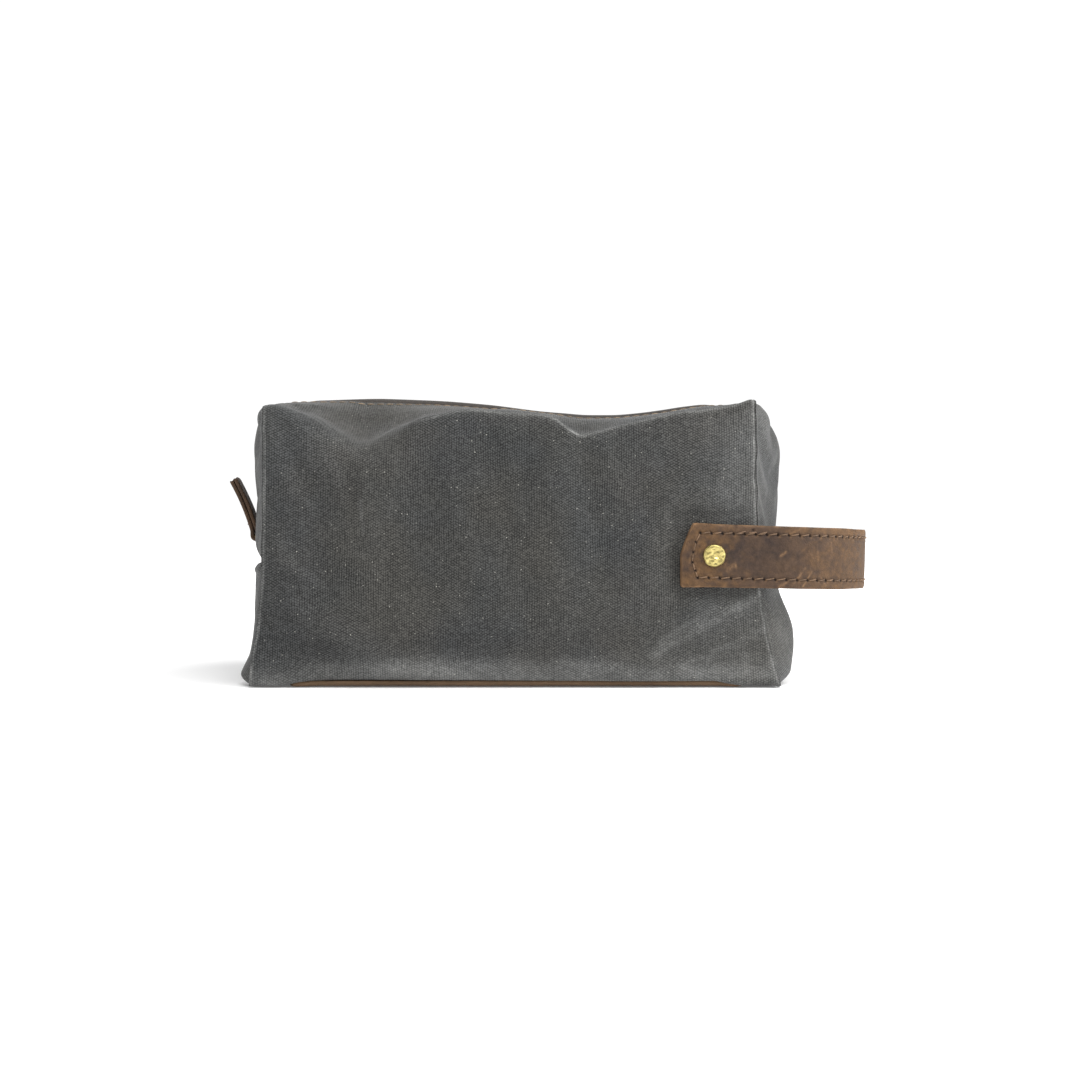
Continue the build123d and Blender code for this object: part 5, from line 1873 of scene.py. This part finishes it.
# CAD pieces that keep their own shape
for name, material in (("zipper_top_stops", ANTIQUE), ("zipper_bottom_stop", ANTIQUE),
                       ("front_rivet_burr", BRASS), ("back_rivet_burr", BRASS)):
    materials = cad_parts[name].data.materials
    materials.clear()
    materials.append(material)

# ---------------------------------------------------------------------------------------------
# Floor, light, camera, in metres
# ---------------------------------------------------------------------------------------------
FLOOR_REACH = 30.0
VIEW_WIDTH = 0.4617             # width seen at the camera's distance
CAMERA_DISTANCE = 0.550
FRONT_Y = -0.056                # plane the camera's distance is measured from


def floor_material():
    """Near-white floor that glows more strongly away from the bag."""
    m = Shader("floor")
    reach = m.node("VectorMath", {0: m.position()}, operation="LENGTH").outputs["Value"]
    m.set(Base_Color=(0.94, 0.94, 0.94, 1), Roughness=0.95, Specular_IOR_Level=0.05,
          Emission_Color=(1, 1, 1, 1),
          Emission_Strength=m.remap(reach, span=(0.30, 1.4), to=(0.10, 1.2)))
    return m.material


def add_floor():
    material = floor_material()
    mesh = bpy.data.meshes.new("floor")
    corners = [(x * FLOOR_REACH, y * FLOOR_REACH, 0)
               for x, y in ((-1, -1), (1, -1), (1, 1), (-1, 1))]
    mesh.from_pydata(corners, [], [(0, 1, 2, 3)])
    floor = bpy.data.objects.new("floor", mesh)
    mesh.materials.append(material)
    bpy.context.scene.collection.objects.link(floor)


def add_world():
    """White world, dimmer as a light than it looks to the camera."""
    world = bpy.data.worlds.new("World")
    bpy.context.scene.world = world
    world.use_nodes = True
    tree = world.node_tree
    background = tree.nodes["Background"]
    background.inputs["Color"].default_value = (1, 1, 1, 1)
    light_path = tree.nodes.new("ShaderNodeLightPath")
    strength = tree.nodes.new("ShaderNodeMapRange")
    tree.links.new(light_path.outputs["Is Camera Ray"], strength.inputs[0])
    strength.inputs["To Min"].default_value = 0.42
    strength.inputs["To Max"].default_value = 1.05
    tree.links.new(strength.outputs[0], background.inputs["Strength"])


def area_light(name, location, target, size, power):
    light = bpy.data.lights.new(name, "AREA")
    light.shape = "RECTANGLE"
    light.size, light.size_y = size
    light.energy = power
    lamp = bpy.data.objects.new(name, light)
    lamp.location = location
    direction = Vector(target) - Vector(location)
    lamp.rotation_euler = direction.to_track_quat("-Z", "Y").to_euler()
    bpy.context.scene.collection.objects.link(lamp)


def add_camera():
    camera = bpy.data.cameras.new("camera")
    camera.sensor_width = 36.0
    camera.lens = 36.0 * CAMERA_DISTANCE / VIEW_WIDTH
    camera.clip_start = 0.01
    holder = bpy.data.objects.new("camera", camera)
    holder.location = (0.0103, FRONT_Y - CAMERA_DISTANCE, 0.0633)
    holder.rotation_euler = (PI / 2, 0, 0)
    bpy.context.scene.collection.objects.link(holder)
    bpy.context.scene.camera = holder


add_floor()
add_world()
area_light("key_top", location=(0.50, -0.42, 1.22), target=(0.0, 0.0, 0.06),
           size=(1.3, 0.9), power=22.0)
area_light("side_right", location=(1.25, -0.45, 0.45), target=(0.05, 0.0, 0.06),
           size=(0.9, 1.0), power=12.0)
area_light("back_fill", location=(-0.30, 1.25, 0.85), target=(0.0, 0.0, 0.06),
           size=(1.6, 1.0), power=9.0)
area_light("side_left", location=(-1.15, -0.7, 0.6), target=(-0.05, 0.0, 0.06),
           size=(0.8, 0.9), power=3.5)
add_camera()
bpy.context.scene.view_settings.view_transform = "Standard"
